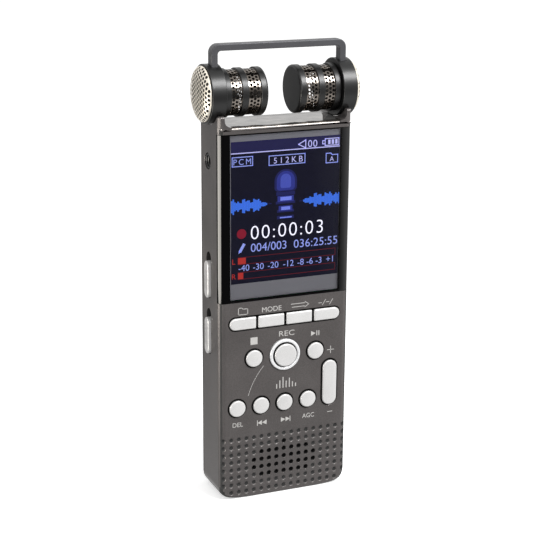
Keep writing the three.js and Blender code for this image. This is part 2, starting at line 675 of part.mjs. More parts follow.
function addGuardBow() {
  const { outer, bar, top, foot, front, depth } = BOW;
  const { outer: outerRound, inner: innerRound, bevel } = BOW_ROUND;
  const inner = outer - bar;
  const under = top - bar;
  const quarter = Math.PI / 2;
  const outline = new THREE.Shape();
  outline.moveTo(-outer, foot);
  outline.absarc(outerRound - outer, top - outerRound, outerRound, 2 * quarter, quarter, true);
  outline.absarc(outer - outerRound, top - outerRound, outerRound, quarter, 0, true);
  outline.lineTo(outer, foot);
  outline.lineTo(inner, foot);
  outline.absarc(inner - innerRound, under - innerRound, innerRound, 0, quarter);
  outline.absarc(innerRound - inner, under - innerRound, innerRound, quarter, 2 * quarter);
  outline.lineTo(-inner, foot);
  const options = {
    depth: depth - 2 * bevel,
    bevelEnabled: true,
    bevelThickness: bevel,
    bevelSize: bevel,
    bevelOffset: -bevel,
    bevelSegments: 1,
    curveSegments: ARC,
  };
  const bow = new THREE.ExtrudeGeometry(outline, options).rotateX(Math.PI / 2);
  add("guard_bow", bow.translate(0, front + depth - bevel, 0), "bow");
}

/** A cross for a screwdriver, cut into a rear screw's head. */
function driverCross(x, z, y0, y1) {
  const [long, short] = [0.9, 0.2];
  return [
    block(x - long, x + long, y0, y1, z - short, z + short),
    block(x - short, x + short, y0, y1, z - long, z + long),
  ];
}

function addScrews() {
  REAR_SCREWS.forEach(([x, z], i) => {
    const { shank, head, headDepth, tip, sink } = REAR_SCREW;
    const top = BACK_Y - sink;
    const solid = rodY(shank, x, z, tip, top - headDepth / 2).add(rodY(head, x, z, top - headDepth, top));
    add(`rear_screw_${i + 1}`, cut(solid, driverCross(x, z, top - 0.5, top + OVER)), "steel");
  });
  BOARD_SCREWS.forEach(([x, z], i) => {
    const { shank, head, headDepth, tip } = BOARD_SCREW;
    const seat = BOARD.front + BOARD.thick + 0.1;
    const solid = rodY(shank, x, z, tip, seat + headDepth / 2).add(rodY(head, x, z, seat, seat + headDepth));
    add(`board_screw_${i + 1}`, solid, "steel");
  });
}

const form = bodyForm();
add("front_shell", frontShell(form), "shell");
add("rear_shell", rearShell(form), "shell");
add("display_lens", displayLens(form), "lens");
addDisplay();
addSoftKeys();
addRoundButtons();
addRecordButton();
addRocker();
addKeypadMat();
addBoardAndBattery();
addSpeaker();
addHeadphoneJack();
addUsbSocket();
for (const [name, bottom] of Object.entries(SLIDE_BOTTOMS)) addSlideSwitch(name, bottom);
addMicrophone("left", -1);
addMicrophone("right", 1);
addGuardBow();
addScrews();

export default recorder;
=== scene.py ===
"""A portable field recorder, dressed for a plain studio still.

Shapes are drawn in millimetres in the object's own frame, with +Z up and the front along -Y.
A finished piece is in metres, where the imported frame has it.
"""

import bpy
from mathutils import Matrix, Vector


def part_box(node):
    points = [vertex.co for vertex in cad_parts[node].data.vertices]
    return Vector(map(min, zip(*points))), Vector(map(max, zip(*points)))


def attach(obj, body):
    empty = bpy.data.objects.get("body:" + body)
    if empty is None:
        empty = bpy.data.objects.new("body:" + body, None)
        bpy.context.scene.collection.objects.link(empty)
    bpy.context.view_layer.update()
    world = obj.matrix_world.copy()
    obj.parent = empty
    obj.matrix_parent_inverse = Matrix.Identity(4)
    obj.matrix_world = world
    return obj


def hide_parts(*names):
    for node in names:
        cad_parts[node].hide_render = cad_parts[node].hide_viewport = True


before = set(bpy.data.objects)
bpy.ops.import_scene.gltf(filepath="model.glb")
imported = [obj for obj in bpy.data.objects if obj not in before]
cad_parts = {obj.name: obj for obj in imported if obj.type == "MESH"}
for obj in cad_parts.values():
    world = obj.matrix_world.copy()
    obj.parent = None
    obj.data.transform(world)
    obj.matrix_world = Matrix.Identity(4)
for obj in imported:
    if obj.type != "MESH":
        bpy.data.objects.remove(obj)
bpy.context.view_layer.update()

import logging
import math
from collections.abc import Callable
from dataclasses import dataclass
from enum import Enum

import bmesh
import bpy
from mathutils import Matrix, Quaternion, Vector

LOG = logging.getLogger("recorder")
MM = 0.001
OVER = 1.0  # how far a cutter runs past what it cuts
FLARE = 0.12  # chamfer at the mouth of a hole in the shell
FINE = 48  # sides of a round piece that is seen close to

Point = tuple[float, float]
Colour = tuple[float, float, float]


def linear(red: int, green: int, blue: int) -> Colour:
    """Turns a display colour, 0 to 255 a channel, into the linear colour a shader takes.

    Args:
        red: the red channel.
        green: the green channel.
        blue: the blue channel.

    Returns:
        The same colour in linear light, 0 to 1 a channel.
    """
    shares = (channel / 255 for channel in (red, green, blue))
    return tuple(s / 12.92 if s <= 0.04045 else ((s + 0.055) / 1.055) ** 2.4 for s in shares)


# ---------- outlines ----------


def rounded(low: Point, high: Point, radii: tuple[float, ...], steps: int = 8) -> list[Point]:
    """Draws a rectangle with round corners.

    Args:
        low: its lower left corner.
        high: its upper right corner.
        radii: the radius at the lower left, lower right, upper right and upper left corners.
        steps: the number of edges in a quarter round.

    Returns:
        The outline's points, anticlockwise, as many for every radius.
    """
    corners = (
        (low[0], low[1], 1, 1),
        (high[0], low[1], -1, 1),
        (high[0], high[1], -1, -1),
        (low[0], high[1], 1, -1),
    )
    points = []
    for quarter, ((x, y, inward_x, inward_y), radius) in enumerate(zip(corners, radii)):
        for step in range(steps + 1):
            angle = math.pi * (1 + quarter / 2 + step / (2 * steps))
            across = x + radius * (inward_x + math.cos(angle))
            up = y + radius * (inward_y + math.sin(angle))
            points.append((across, up))
    return points


def stadium(centre: Point, width: float, height: float, steps: int = 8) -> list[Point]:
    """Draws a slot with round ends.

    Args:
        centre: the slot's middle.
        width: its full width.
        height: its full height.
        steps: the number of edges in a quarter round.

    Returns:
        The outline's points, anticlockwise.
    """
    radius = min(width, height) / 2 - 0.01
    low = (centre[0] - width / 2, centre[1] - height / 2)
    high = (centre[0] + width / 2, centre[1] + height / 2)
    return rounded(low, high, (radius,) * 4, steps)


def ribbon(path: list[Point], width: float, closed: bool = False) -> list[list[Point]]:
    """Thickens a line into one four-sided outline for each of its stretches.

    Args:
        path: the points of the line.
        width: its thickness.
        closed: whether the last point joins the first.

    Returns:
        The outlines, which overlap at the line's corners.
    """
    ends = path[1:] + path[:1] if closed else path[1:]
    outlines = []
    for (x0, y0), (x1, y1) in zip(path, ends):
        along = Vector((x1 - x0, y1 - y0)).normalized() * (width / 2)
        side = Vector((-along.y, along.x))
        start = Vector((x0, y0)) - along
        end = Vector((x1, y1)) + along
        outlines.append([tuple(p) for p in (start - side, end - side, end + side, start + side)])
    return outlines


def ring_path(centre: Point, radius: float, start: float, sweep: float, steps: int) -> list[Point]:
    """Draws an arc.

    Args:
        centre: the arc's centre.
        radius: its radius.
        start: the angle of its first point, in degrees.
        sweep: how far it turns, in degrees.
        steps: the number of its edges.

    Returns:
        Its points.
    """
    angles = (math.radians(start + sweep * step / steps) for step in range(steps + 1))
    return [(centre[0] + radius * math.cos(a), centre[1] + radius * math.sin(a)) for a in angles]


def fillet(steps: int) -> list[Point]:
    """Follows a quarter round of radius 1 from a face to a side.

    Args:
        steps: the number of its edges.

    Returns:
        How far in from the side and how far behind the face each of its points is.
    """
    angles = (math.pi / 2 * step / steps for step in range(steps + 1))
    return [(1 - math.sin(a), 1 - math.cos(a)) for a in angles]


# ---------- solids ----------


class Plane(Enum):
    """The plane that an outline is drawn in, as its two axes and the axis across it."""

    FRONT = (0, 2, 1)
    SIDE = (1, 2, 0)
    TOP = (0, 1, 2)

    def point(self, across: float, up: float, level: float) -> Vector:
        """Gives the place of an outline's point.

        Args:
            across: the point's first coordinate in the plane.
            up: its second.
            level: the plane's place along the axis across it.

        Returns:
            The point in the object's frame.
        """
        spot = Vector((0, 0, 0))
        for axis, value in zip(self.value, (across, up, level)):
            spot[axis] = value
        return spot


class Operation(Enum):
    """How one solid is combined with others."""

    CUT = "DIFFERENCE"
    JOIN = "UNION"
    KEEP = "INTERSECT"


@dataclass(frozen=True)
class Box:
    """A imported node's box, in millimetres."""

    low: Vector
    high: Vector

    @classmethod
    def of(cls, node: str) -> "Box":
        """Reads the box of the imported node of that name."""
        low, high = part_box(node)
        return cls(low / MM, high / MM)

    @property
    def centre(self) -> Vector:
        """The box's middle."""
        return (self.low + self.high) / 2

    @property
    def size(self) -> Vector:
        """The box's full size along each axis."""
        return self.high - self.low


class Solid:
    """A closed mesh in the making, in millimetres."""

    def __init__(self, shape: bmesh.types.BMesh) -> None:
        """Takes over a mesh and turns its faces outwards.

        Args:
            shape: the mesh, which is freed.
        """
        bmesh.ops.recalc_face_normals(shape, faces=shape.faces)
        self.mesh = bpy.data.meshes.new("solid")
        shape.to_mesh(self.mesh)
        shape.free()

    @classmethod
    def stacked(cls, rings: list[tuple[list[Point], float]], plane: Plane) -> "Solid":
        """Skins a stack of outlines that have the same number of points.

        Args:
            rings: each outline and its level, in order.
            plane: the plane that they are drawn in.

        Returns:
            The solid between the first outline and the last.
        """
        shape = bmesh.new()
        loops = []
        for outline, level in rings:
            loops.append([shape.verts.new(plane.point(*point, level)) for point in outline])
        for lower, upper in zip(loops, loops[1:]):
            for i, vertex in enumerate(lower):
                shape.faces.new((lower[i - 1], vertex, upper[i], upper[i - 1]))
        shape.faces.new(loops[0])
        shape.faces.new(loops[-1])
        return cls(shape)

    @classmethod
    def prism(cls, outline: list[Point], low: float, high: float, plane: Plane) -> "Solid":
        """Makes a straight prism of an outline between two levels of a plane."""
        return cls.stacked([(outline, low), (outline, high)], plane)

    @classmethod
    def block(cls, low: tuple[float, ...], high: tuple[float, ...]) -> "Solid":
        """Makes a box between two corners, each given as x, y and z.

        Args:
            low: the lowest corner.
            high: the highest corner.

        Returns:
            The box.
        """
        (x0, y0, z0), (x1, y1, z1) = low, high
        outline = [(x0, y0), (x1, y0), (x1, y1), (x0, y1)]
        return cls.prism(outline, z0, z1, Plane.TOP)

    @classmethod
    def turned(
        cls, profile: list[Point], axis: Vector, origin: Vector, sides: int = FINE
    ) -> "Solid":
        """Turns a profile round an axis.

        Args:
            profile: radius and distance along the axis, from end to end. It starts and ends on
                the axis, or ends where it starts.
            axis: the axis' direction.
            origin: the point of the axis at distance 0.
            sides: how many sides the solid has.

        Returns:
            The solid.
        """
        shape = bmesh.new()
        turn = axis.to_track_quat("Z", "Y")
        ring = profile[0] == profile[-1]
        stations = profile[:-1] if ring else profile
        loops = []
        for radius, along in stations:
            count = sides if radius > 0 else 1
            angles = (2 * math.pi * i / count for i in range(count))
            spots = (Vector((radius * math.cos(a), radius * math.sin(a), along)) for a in angles)
            loops.append([shape.verts.new(origin + turn @ spot) for spot in spots])
        for first, second in zip(loops, loops[1:] + (loops[:1] if ring else [])):
            for i in range(sides):
                quad = [first[i - 1 if len(first) > 1 else 0], first[i if len(first) > 1 else 0]]
                quad += [second[i if len(second) > 1 else 0], second[i - 1 if len(second) > 1 else 0]]
                shape.faces.new(dict.fromkeys(quad))
        return cls(shape)

    @classmethod
    def merged(cls, solids: list["Solid"]) -> "Solid":
        """Puts solids that stay clear of each other into one mesh.

        Args:
            solids: the solids.

        Returns:
            One solid of them all.
        """
        shape = bmesh.new()
        for solid in solids:
            shape.from_mesh(solid.mesh)
            bpy.data.meshes.remove(solid.mesh)
        return cls(shape)

    def combine(self, operation: Operation, *others: "Solid") -> "Solid":
        """Cuts other solids out of this one, joins them to it, or keeps what they share.

        Args:
            operation: which of the three.
            *others: the other solids, taken in order.

        Returns:
            This solid, changed.
        """
        link = bpy.context.scene.collection.objects.link
        holder = bpy.data.objects.new("work", self.mesh)
        link(holder)
        helpers = []
        for other in others:
            helper = bpy.data.objects.new("tool", other.mesh)
            link(helper)
            helpers.append(helper)
            modifier = holder.modifiers.new("combine", "BOOLEAN")
            modifier.operation = operation.value
            modifier.solver = "MANIFOLD"
            modifier.object = helper
        bpy.context.view_layer.update()
        settled = holder.evaluated_get(bpy.context.evaluated_depsgraph_get())
        result = bpy.data.meshes.new_from_object(settled)
        for used in [holder, *helpers]:
            mesh = used.data
            bpy.data.objects.remove(used)
            bpy.data.meshes.remove(mesh)
        self.mesh = result
        return self

    def cut(self, *others: "Solid") -> "Solid":
        """Cuts other solids out of this one."""
        return self.combine(Operation.CUT, *others)

    def join(self, *others: "Solid") -> "Solid":
        """Joins other solids to this one."""
        return self.combine(Operation.JOIN, *others)

    def keep(self, *others: "Solid") -> "Solid":
        """Keeps what this solid shares with others."""
        return self.combine(Operation.KEEP, *others)


@dataclass(frozen=True)
class Place:
    """Where a piece belongs: its body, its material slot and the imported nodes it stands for."""

    body: str
    slot: str
    nodes: tuple[str, ...] = ()


def smooth(mesh: bpy.types.Mesh, angle: float) -> None:
    """Shades a mesh smooth, but for the edges that turn more than an angle.

    Args:
        mesh: the mesh.
        angle: the angle, in degrees.
    """
    mesh.shade_smooth()
    mesh.set_sharp_from_angle(angle=math.radians(angle))


def finished(
    name: str, solid: Solid, finishes: list["Finish"], place: Place, crease: float = 32
) -> bpy.types.Object:
    """Makes a piece of a solid: scales it, shades it, dresses it and gives it its place.

    Args:
        name: the piece's name.
        solid: its shape.
        finishes: its finishes, one for each material index.
        place: where it belongs.
        crease: the angle above which an edge stays sharp, in degrees.

    Returns:
        The piece.
    """
    mesh = solid.mesh
    mesh.name = name
    mesh.transform(Matrix.Scale(MM, 4))
    smooth(mesh, crease)
    mesh.materials.clear()
    for finish in finishes:
        mesh.materials.append(finish.material())
    piece = bpy.data.objects.new(name, mesh)
    bpy.context.scene.collection.objects.link(piece)
    weighting = piece.modifiers.new("even_shading", "WEIGHTED_NORMAL")
    weighting.keep_sharp = True
    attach(piece, place.body)
    if place.nodes:
        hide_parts(*place.nodes)
    LOG.info("%s: %d faces, on %s", name, len(mesh.polygons), place.body)
    return piece


def dress(node: str, finish: "Finish", bevel: float = 0.1) -> None:
    """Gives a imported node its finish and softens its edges.

    Args:
        node: the node's name.
        finish: its finish.
        bevel: the width of the softened edges, in millimetres, or 0 for none.
    """
    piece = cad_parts[node]
    piece.data.materials.clear()
    piece.data.materials.append(finish.material())
    if bevel > 0:
        modifier = piece.modifiers.new("soft_edges", "BEVEL")
        modifier.width = bevel * MM
        modifier.segments = 2
        modifier.limit_method = "ANGLE"
        modifier.angle_limit = math.radians(40)
    LOG.info("%s: packed shape, dressed", node)


def repaint(piece: bpy.types.Object, index: int, chosen: Callable[[Vector, Vector], bool]) -> None:
    """Gives some of a piece's faces another of its finishes.

    Args:
        piece: the finished piece.
        index: which of its finishes they get.
        chosen: tells, from a face's middle in millimetres and the way it faces, whether it gets it.
    """
    for face in piece.data.polygons:
        if chosen(face.center / MM, face.normal):
            face.material_index = index


# ---------- finishes ----------


class Nodes:
    """A short way to lay out a material's node tree."""

    def __init__(self, name: str) -> None:
        """Makes an empty material.

        Args:
            name: the material's name.
        """
        self.material = bpy.data.materials.new(name)
        self.material.use_nodes = True
        self.tree = self.material.node_tree
        self.tree.nodes.clear()
        self.output = self.tree.nodes.new("ShaderNodeOutputMaterial")
        self.place = self.tree.nodes.new("ShaderNodeTexCoord").outputs["Object"]

    def add(self, kind: str, **settings: object) -> bpy.types.Node:
        """Adds a node.

        Args:
            kind: its type, without the ShaderNode at the front.
            **settings: its attributes.

        Returns:
            The node.
        """
        node = self.tree.nodes.new("ShaderNode" + kind)
        for key, value in settings.items():
            setattr(node, key, value)
        return node

    def link(self, source: bpy.types.NodeSocket, target: bpy.types.NodeSocket) -> None:
        """Joins two sockets."""
        self.tree.links.new(source, target)

    def noise(self, scale: float, detail: float = 2.0, stretch: Colour = (1, 1, 1)) -> bpy.types.NodeSocket:
        """Adds a noise that is even all round the object.

        Args:
            scale: its features to the metre.
            detail: how much finer noise it carries.
            stretch: how much denser it is along each axis.

        Returns:
            Its strength, 0 to 1.
        """
        mapping = self.add("Mapping")
        mapping.inputs["Scale"].default_value = stretch
        self.link(self.place, mapping.inputs["Vector"])
        noise = self.add("TexNoise")
        noise.inputs["Scale"].default_value = scale
        noise.inputs["Detail"].default_value = detail
        self.link(mapping.outputs["Vector"], noise.inputs["Vector"])
        return noise.outputs["Fac"]

    def spread(self, source: bpy.types.NodeSocket, low: float, high: float) -> bpy.types.NodeSocket:
        """Maps the middle of a noise's range to a range of values.

        Args:
            source: the noise.
            low: what its low end becomes.
            high: what its high end becomes.

        Returns:
            The values.
        """
        spread = self.add("MapRange")
        for socket, value in zip(spread.inputs[1:5], (0.3, 0.7, low, high)):
            socket.default_value = value
        self.link(source, spread.inputs["Value"])
        return spread.outputs["Result"]

    def tint(self, source: bpy.types.NodeSocket, low: Colour, high: Colour) -> bpy.types.NodeSocket:
        """Maps the middle of a noise's range to a range of colours.

        Args:
            source: the noise.
            low: the colour at its low end.
            high: the colour at its high end.

        Returns:
            The colours.
        """
        ramp = self.add("ValToRGB")
        for stop, place, colour in zip(ramp.color_ramp.elements, (0.3, 0.7), (low, high)):
            stop.position = place
            stop.color = (*colour, 1)
        self.link(source, ramp.inputs["Fac"])
        return ramp.outputs["Color"]

    def bump(
        self, source: bpy.types.NodeSocket, strength: float, depth: float, base: object = None
    ) -> bpy.types.NodeSocket:
        """Turns a noise into relief.

        Args:
            source: the noise.
            strength: how much of the relief shows, 0 to 1.
            depth: its depth, in millimetres.
            base: the relief that it is added to, if any.

        Returns:
            The normals.
        """
        bump = self.add("Bump")
        bump.inputs["Strength"].default_value = strength
        bump.inputs["Distance"].default_value = depth * MM
        self.link(source, bump.inputs["Height"])
        if base is not None:
            self.link(base, bump.inputs["Normal"])
        return bump.outputs["Normal"]

    def show(self, shader: bpy.types.NodeSocket) -> bpy.types.Material:
        """Ends the tree in a shader and gives the material."""
        self.link(shader, self.output.inputs["Surface"])
        return self.material


@dataclass(frozen=True)
class Finish:
    """A moulded or painted surface with a fine grain.

    The grain lightens, darkens and roughens the surface a little, and lifts it into relief.
    """

    name: str
    colour: Colour
    roughness: float = 0.45
    metallic: float = 0.0
    grain: float = 3500.0  # to the metre
    mottle: float = 0.1  # share of the colour
    relief: float = 0.15
    depth: float = 0.02  # of the relief, in millimetres
    unevenness: float = 0.05  # of the roughness
    specular: float = 0.5
    coat: float = 0.0
    glow: float = 0.0

    def material(self) -> bpy.types.Material:
        """Gives the finish's material, which all its pieces share.

        Returns:
            The material.
        """
        made = bpy.data.materials.get(self.name)
        return made if made else self.build(Nodes(self.name))

    def build(self, nodes: Nodes) -> bpy.types.Material:
        """Lays out the material.

        Args:
            nodes: its empty tree.

        Returns:
            The material.
        """
        shader = nodes.add("BsdfPrincipled")
        plain = {
            "Metallic": self.metallic,
            "Specular IOR Level": self.specular,
            "Coat Weight": self.coat,
            "Coat Roughness": 0.08,
            "Emission Strength": self.glow,
        }
        for socket, value in plain.items():
            shader.inputs[socket].default_value = value
        shader.inputs["Emission Color"].default_value = (*self.colour, 1)
        nodes.link(self.tone(nodes), shader.inputs["Base Color"])
        nodes.link(self.gloss(nodes), shader.inputs["Roughness"])
        nodes.link(self.surface(nodes), shader.inputs["Normal"])
        return nodes.show(shader.outputs["BSDF"])

    def tone(self, nodes: Nodes) -> bpy.types.NodeSocket:
        """Varies the colour with the grain."""
        return nodes.tint(nodes.noise(self.grain), self.shade(1 - self.mottle), self.shade(1 + self.mottle))

    def gloss(self, nodes: Nodes) -> bpy.types.NodeSocket:
        """Varies the roughness in broad soft patches."""
        low, high = self.roughness - self.unevenness, self.roughness + self.unevenness
        return nodes.spread(nodes.noise(self.grain / 40), max(low, 0.01), high)

    def surface(self, nodes: Nodes) -> bpy.types.NodeSocket:
        """Lifts the grain into relief."""
        return nodes.bump(nodes.noise(self.grain, 3), self.relief, self.depth)

    def shade(self, share: float) -> Colour:
        """Gives the colour, made lighter or darker."""
        return tuple(min(channel * share, 1) for channel in self.colour)


@dataclass(frozen=True)
class FlakePaint(Finish):
    """A metallic paint: a fine grain with brighter flakes, over a slow drift of the colour."""

    flake: float = 7000.0
    drift: float = 0.06

    def tone(self, nodes: Nodes) -> bpy.types.NodeSocket:
        """Adds the flakes and the drift to the grain.

        Args:
            nodes: the material's tree.

        Returns:
            The colours.
        """
        dark, light = self.shade(1 - self.mottle), self.shade(1 + self.mottle)
        grain = nodes.tint(nodes.noise(self.grain, 4), dark, light)
        flake = nodes.add("TexVoronoi")
        flake.inputs["Scale"].default_value = self.flake
        nodes.link(nodes.place, flake.inputs["Vector"])
        bright = nodes.add("MapRange")
        for socket, value in zip(bright.inputs[1:5], (0.12, 0.3, 1.35, 1.0)):
            socket.default_value = value
        nodes.link(flake.outputs["Distance"], bright.inputs["Value"])
        slow = nodes.spread(nodes.noise(90), 1 - self.drift, 1 + self.drift)
        share = nodes.add("Math", operation="MULTIPLY")
        nodes.link(bright.outputs["Result"], share.inputs[0])
        nodes.link(slow, share.inputs[1])
        scaled = nodes.add("VectorMath", operation="SCALE")
        nodes.link(grain, scaled.inputs["Vector"])
        nodes.link(share.outputs["Value"], scaled.inputs["Scale"])
        return scaled.outputs["Vector"]


@dataclass(frozen=True)
class TurnedMetal(Finish):
    """Metal with the fine grooves of a lathe, along the microphones' axis."""

    grooves: float = 2600.0  # to the metre
    cut: float = 0.25

    def surface(self, nodes: Nodes) -> bpy.types.NodeSocket:
        """Adds the grooves to the grain.

        Args:
            nodes: the material's tree.

        Returns:
            The normals.
        """
        grooves = nodes.noise(self.grooves, 1, (1, 0.02, 0.02))
        grain = nodes.bump(nodes.noise(self.grain, 3), self.relief, self.depth)
        return nodes.bump(grooves, self.cut, self.depth, grain)


@dataclass(frozen=True)
class ClearWindow(Finish):
    """A clear hard-coated window: what is behind it shows, under a mirror's faint gloss."""

    index: float = 1.45  # of refraction, or 1 for the side that gives no reflection of its own

    def build(self, nodes: Nodes) -> bpy.types.Material:
        """Mixes a clear shader with a mirror by the angle of view.

        Args:
            nodes: the material's empty tree.

        Returns:
            The material.
        """
        clear = nodes.add("BsdfTransparent")
        clear.inputs["Color"].default_value = (*self.colour, 1)
        mirror = nodes.add("BsdfGlossy")
        nodes.link(self.gloss(nodes), mirror.inputs["Roughness"])
        fresnel = nodes.add("Fresnel")
        fresnel.inputs["IOR"].default_value = self.index
        mix = nodes.add("MixShader")
        nodes.link(fresnel.outputs["Fac"], mix.inputs["Fac"])
        nodes.link(clear.outputs["BSDF"], mix.inputs[1])
        nodes.link(mirror.outputs["BSDF"], mix.inputs[2])
        return nodes.show(mix.outputs["Shader"])


@dataclass(frozen=True)
class CircuitBoard(Finish):
    """Solder mask with a maze of slightly lighter copper tracks under it."""

    track: float = 420.0

    def tone(self, nodes: Nodes) -> bpy.types.NodeSocket:
        """Draws the tracks as the cells of a coarse square pattern.

        Args:
            nodes: the material's tree.

        Returns:
            The colours.
        """
        cells = nodes.add("TexVoronoi", distance="MANHATTAN", feature="DISTANCE_TO_EDGE")
        cells.inputs["Scale"].default_value = self.track
        nodes.link(nodes.place, cells.inputs["Vector"])
        return nodes.tint(cells.outputs["Distance"], self.shade(1.6), self.shade(0.9))


SHELL_PAINT = FlakePaint("shell_paint", linear(89, 85, 84), 0.36, 0.45, mottle=0.14, relief=0.25)
# The top's finish: real gloss in its low roughness, and a lighter colour than the shell's paint that is a
# painted reflection of the bright room.
TOP_GLOSS_PAINTED_SHEEN = Finish("top_gloss_painted_sheen", linear(112, 108, 104), 0.07, 0.85, relief=0.02, grain=230, mottle=0.5)
LENS_BLACK = Finish("lens_black", linear(6, 6, 7), 0.04, relief=0.01, unevenness=0.02)
LENS_CLEAR = ClearWindow("lens_clear", (0.97, 0.97, 0.97), 0.03, unevenness=0.015)
LENS_INNER = ClearWindow("lens_inner", (0.99, 0.99, 0.99), 0.03, unevenness=0.015, index=1.0)
KEY_SILVER = FlakePaint("key_silver", linear(212, 211, 210), 0.38, 0.25, mottle=0.03, relief=0.2, drift=0.02)
BEZEL_CHROME = Finish("bezel_chrome", linear(236, 236, 237), 0.25, 0.3, relief=0.04, mottle=0.03)
GUNMETAL = TurnedMetal("gunmetal", linear(104, 100, 99), 0.36, 0.6, relief=0.06, cut=0.08)
SLEEVE_METAL = Finish("sleeve_metal", linear(128, 121, 114), 0.14, 1.0, relief=0.08)
GRILLE_METAL = Finish("grille_metal", linear(242, 234, 219), 0.34, 0.5, relief=0.08)
BOW_PAINT = FlakePaint("bow_paint", linear(74, 74, 77), 0.42, 0.35, mottle=0.1, relief=0.25)
JACK_BLACK = Finish("jack_black", linear(9, 9, 10), 0.3, relief=0.05)
BLACK_PLASTIC = Finish("black_plastic", linear(24, 24, 26), 0.5, relief=0.3)
RUBBER = Finish("rubber", linear(30, 30, 31), 0.85, relief=0.5, specular=0.3)
LEGEND_INK = Finish("legend_ink", linear(184, 182, 179), 0.5, relief=0.1, grain=9000)
LCD_FILM = Finish("lcd_film", linear(158, 158, 166), 0.35, 0.2, relief=0.05, mottle=0.02)
PANEL_GLASS = Finish("panel_glass", linear(40, 42, 50), 0.15, relief=0.02)
FOIL = Finish("foil", linear(170, 174, 178), 0.35, 0.8, relief=0.4, grain=900)
BATTERY_WRAP = Finish("battery_wrap", linear(150, 156, 166), 0.4, 0.5, relief=0.3, grain=600)
BOARD_MASK = CircuitBoard("board_mask", linear(30, 88, 56), 0.4, relief=0.2, grain=1200)
STEEL = Finish("steel", linear(168, 170, 172), 0.3, 1.0, relief=0.12)
CONE_PAPER = Finish("cone_paper", linear(52, 48, 44), 0.9, relief=0.6, grain=1800)
GAUZE = Finish("gauze", linear(12, 12, 12), 0.95, relief=0.6, grain=5000, specular=0.2)


class Ink(Enum):
    """The colours of the display's picture, each with its glow."""

    NIGHT = (linear(22, 22, 38), 0.5)
    BAR = (linear(33, 32, 66), 0.8)
    LAVENDER = (linear(165, 165, 214), 0.9)
    WHITE = (linear(226, 226, 240), 1.0)
    PALE_BLUE = (linear(128, 140, 206), 0.9)
    WAVE = (linear(54, 98, 196), 0.9)
    DOME = (linear(44, 50, 122), 0.8)
    DOME_SHADE = (linear(32, 34, 80), 0.8)
    DOME_LIGHT = (linear(64, 74, 156), 0.8)
    GLINT = (linear(104, 118, 206), 0.8)
    RED_DOT = (linear(122, 27, 45), 0.7)
    RED = (linear(158, 46, 42), 0.8)
    DARK_RED = (linear(88, 26, 34), 0.8)

    @property
    def finish(self) -> Finish:
        """The ink as a glowing finish."""
        colour, glow = self.value
        name = "display_" + self.name.lower()
        return Finish(name, colour, 0.6, grain=14000, mottle=0.15, relief=0.02, specular=0.1, glow=glow)


# ---------- sub-assemblies ----------


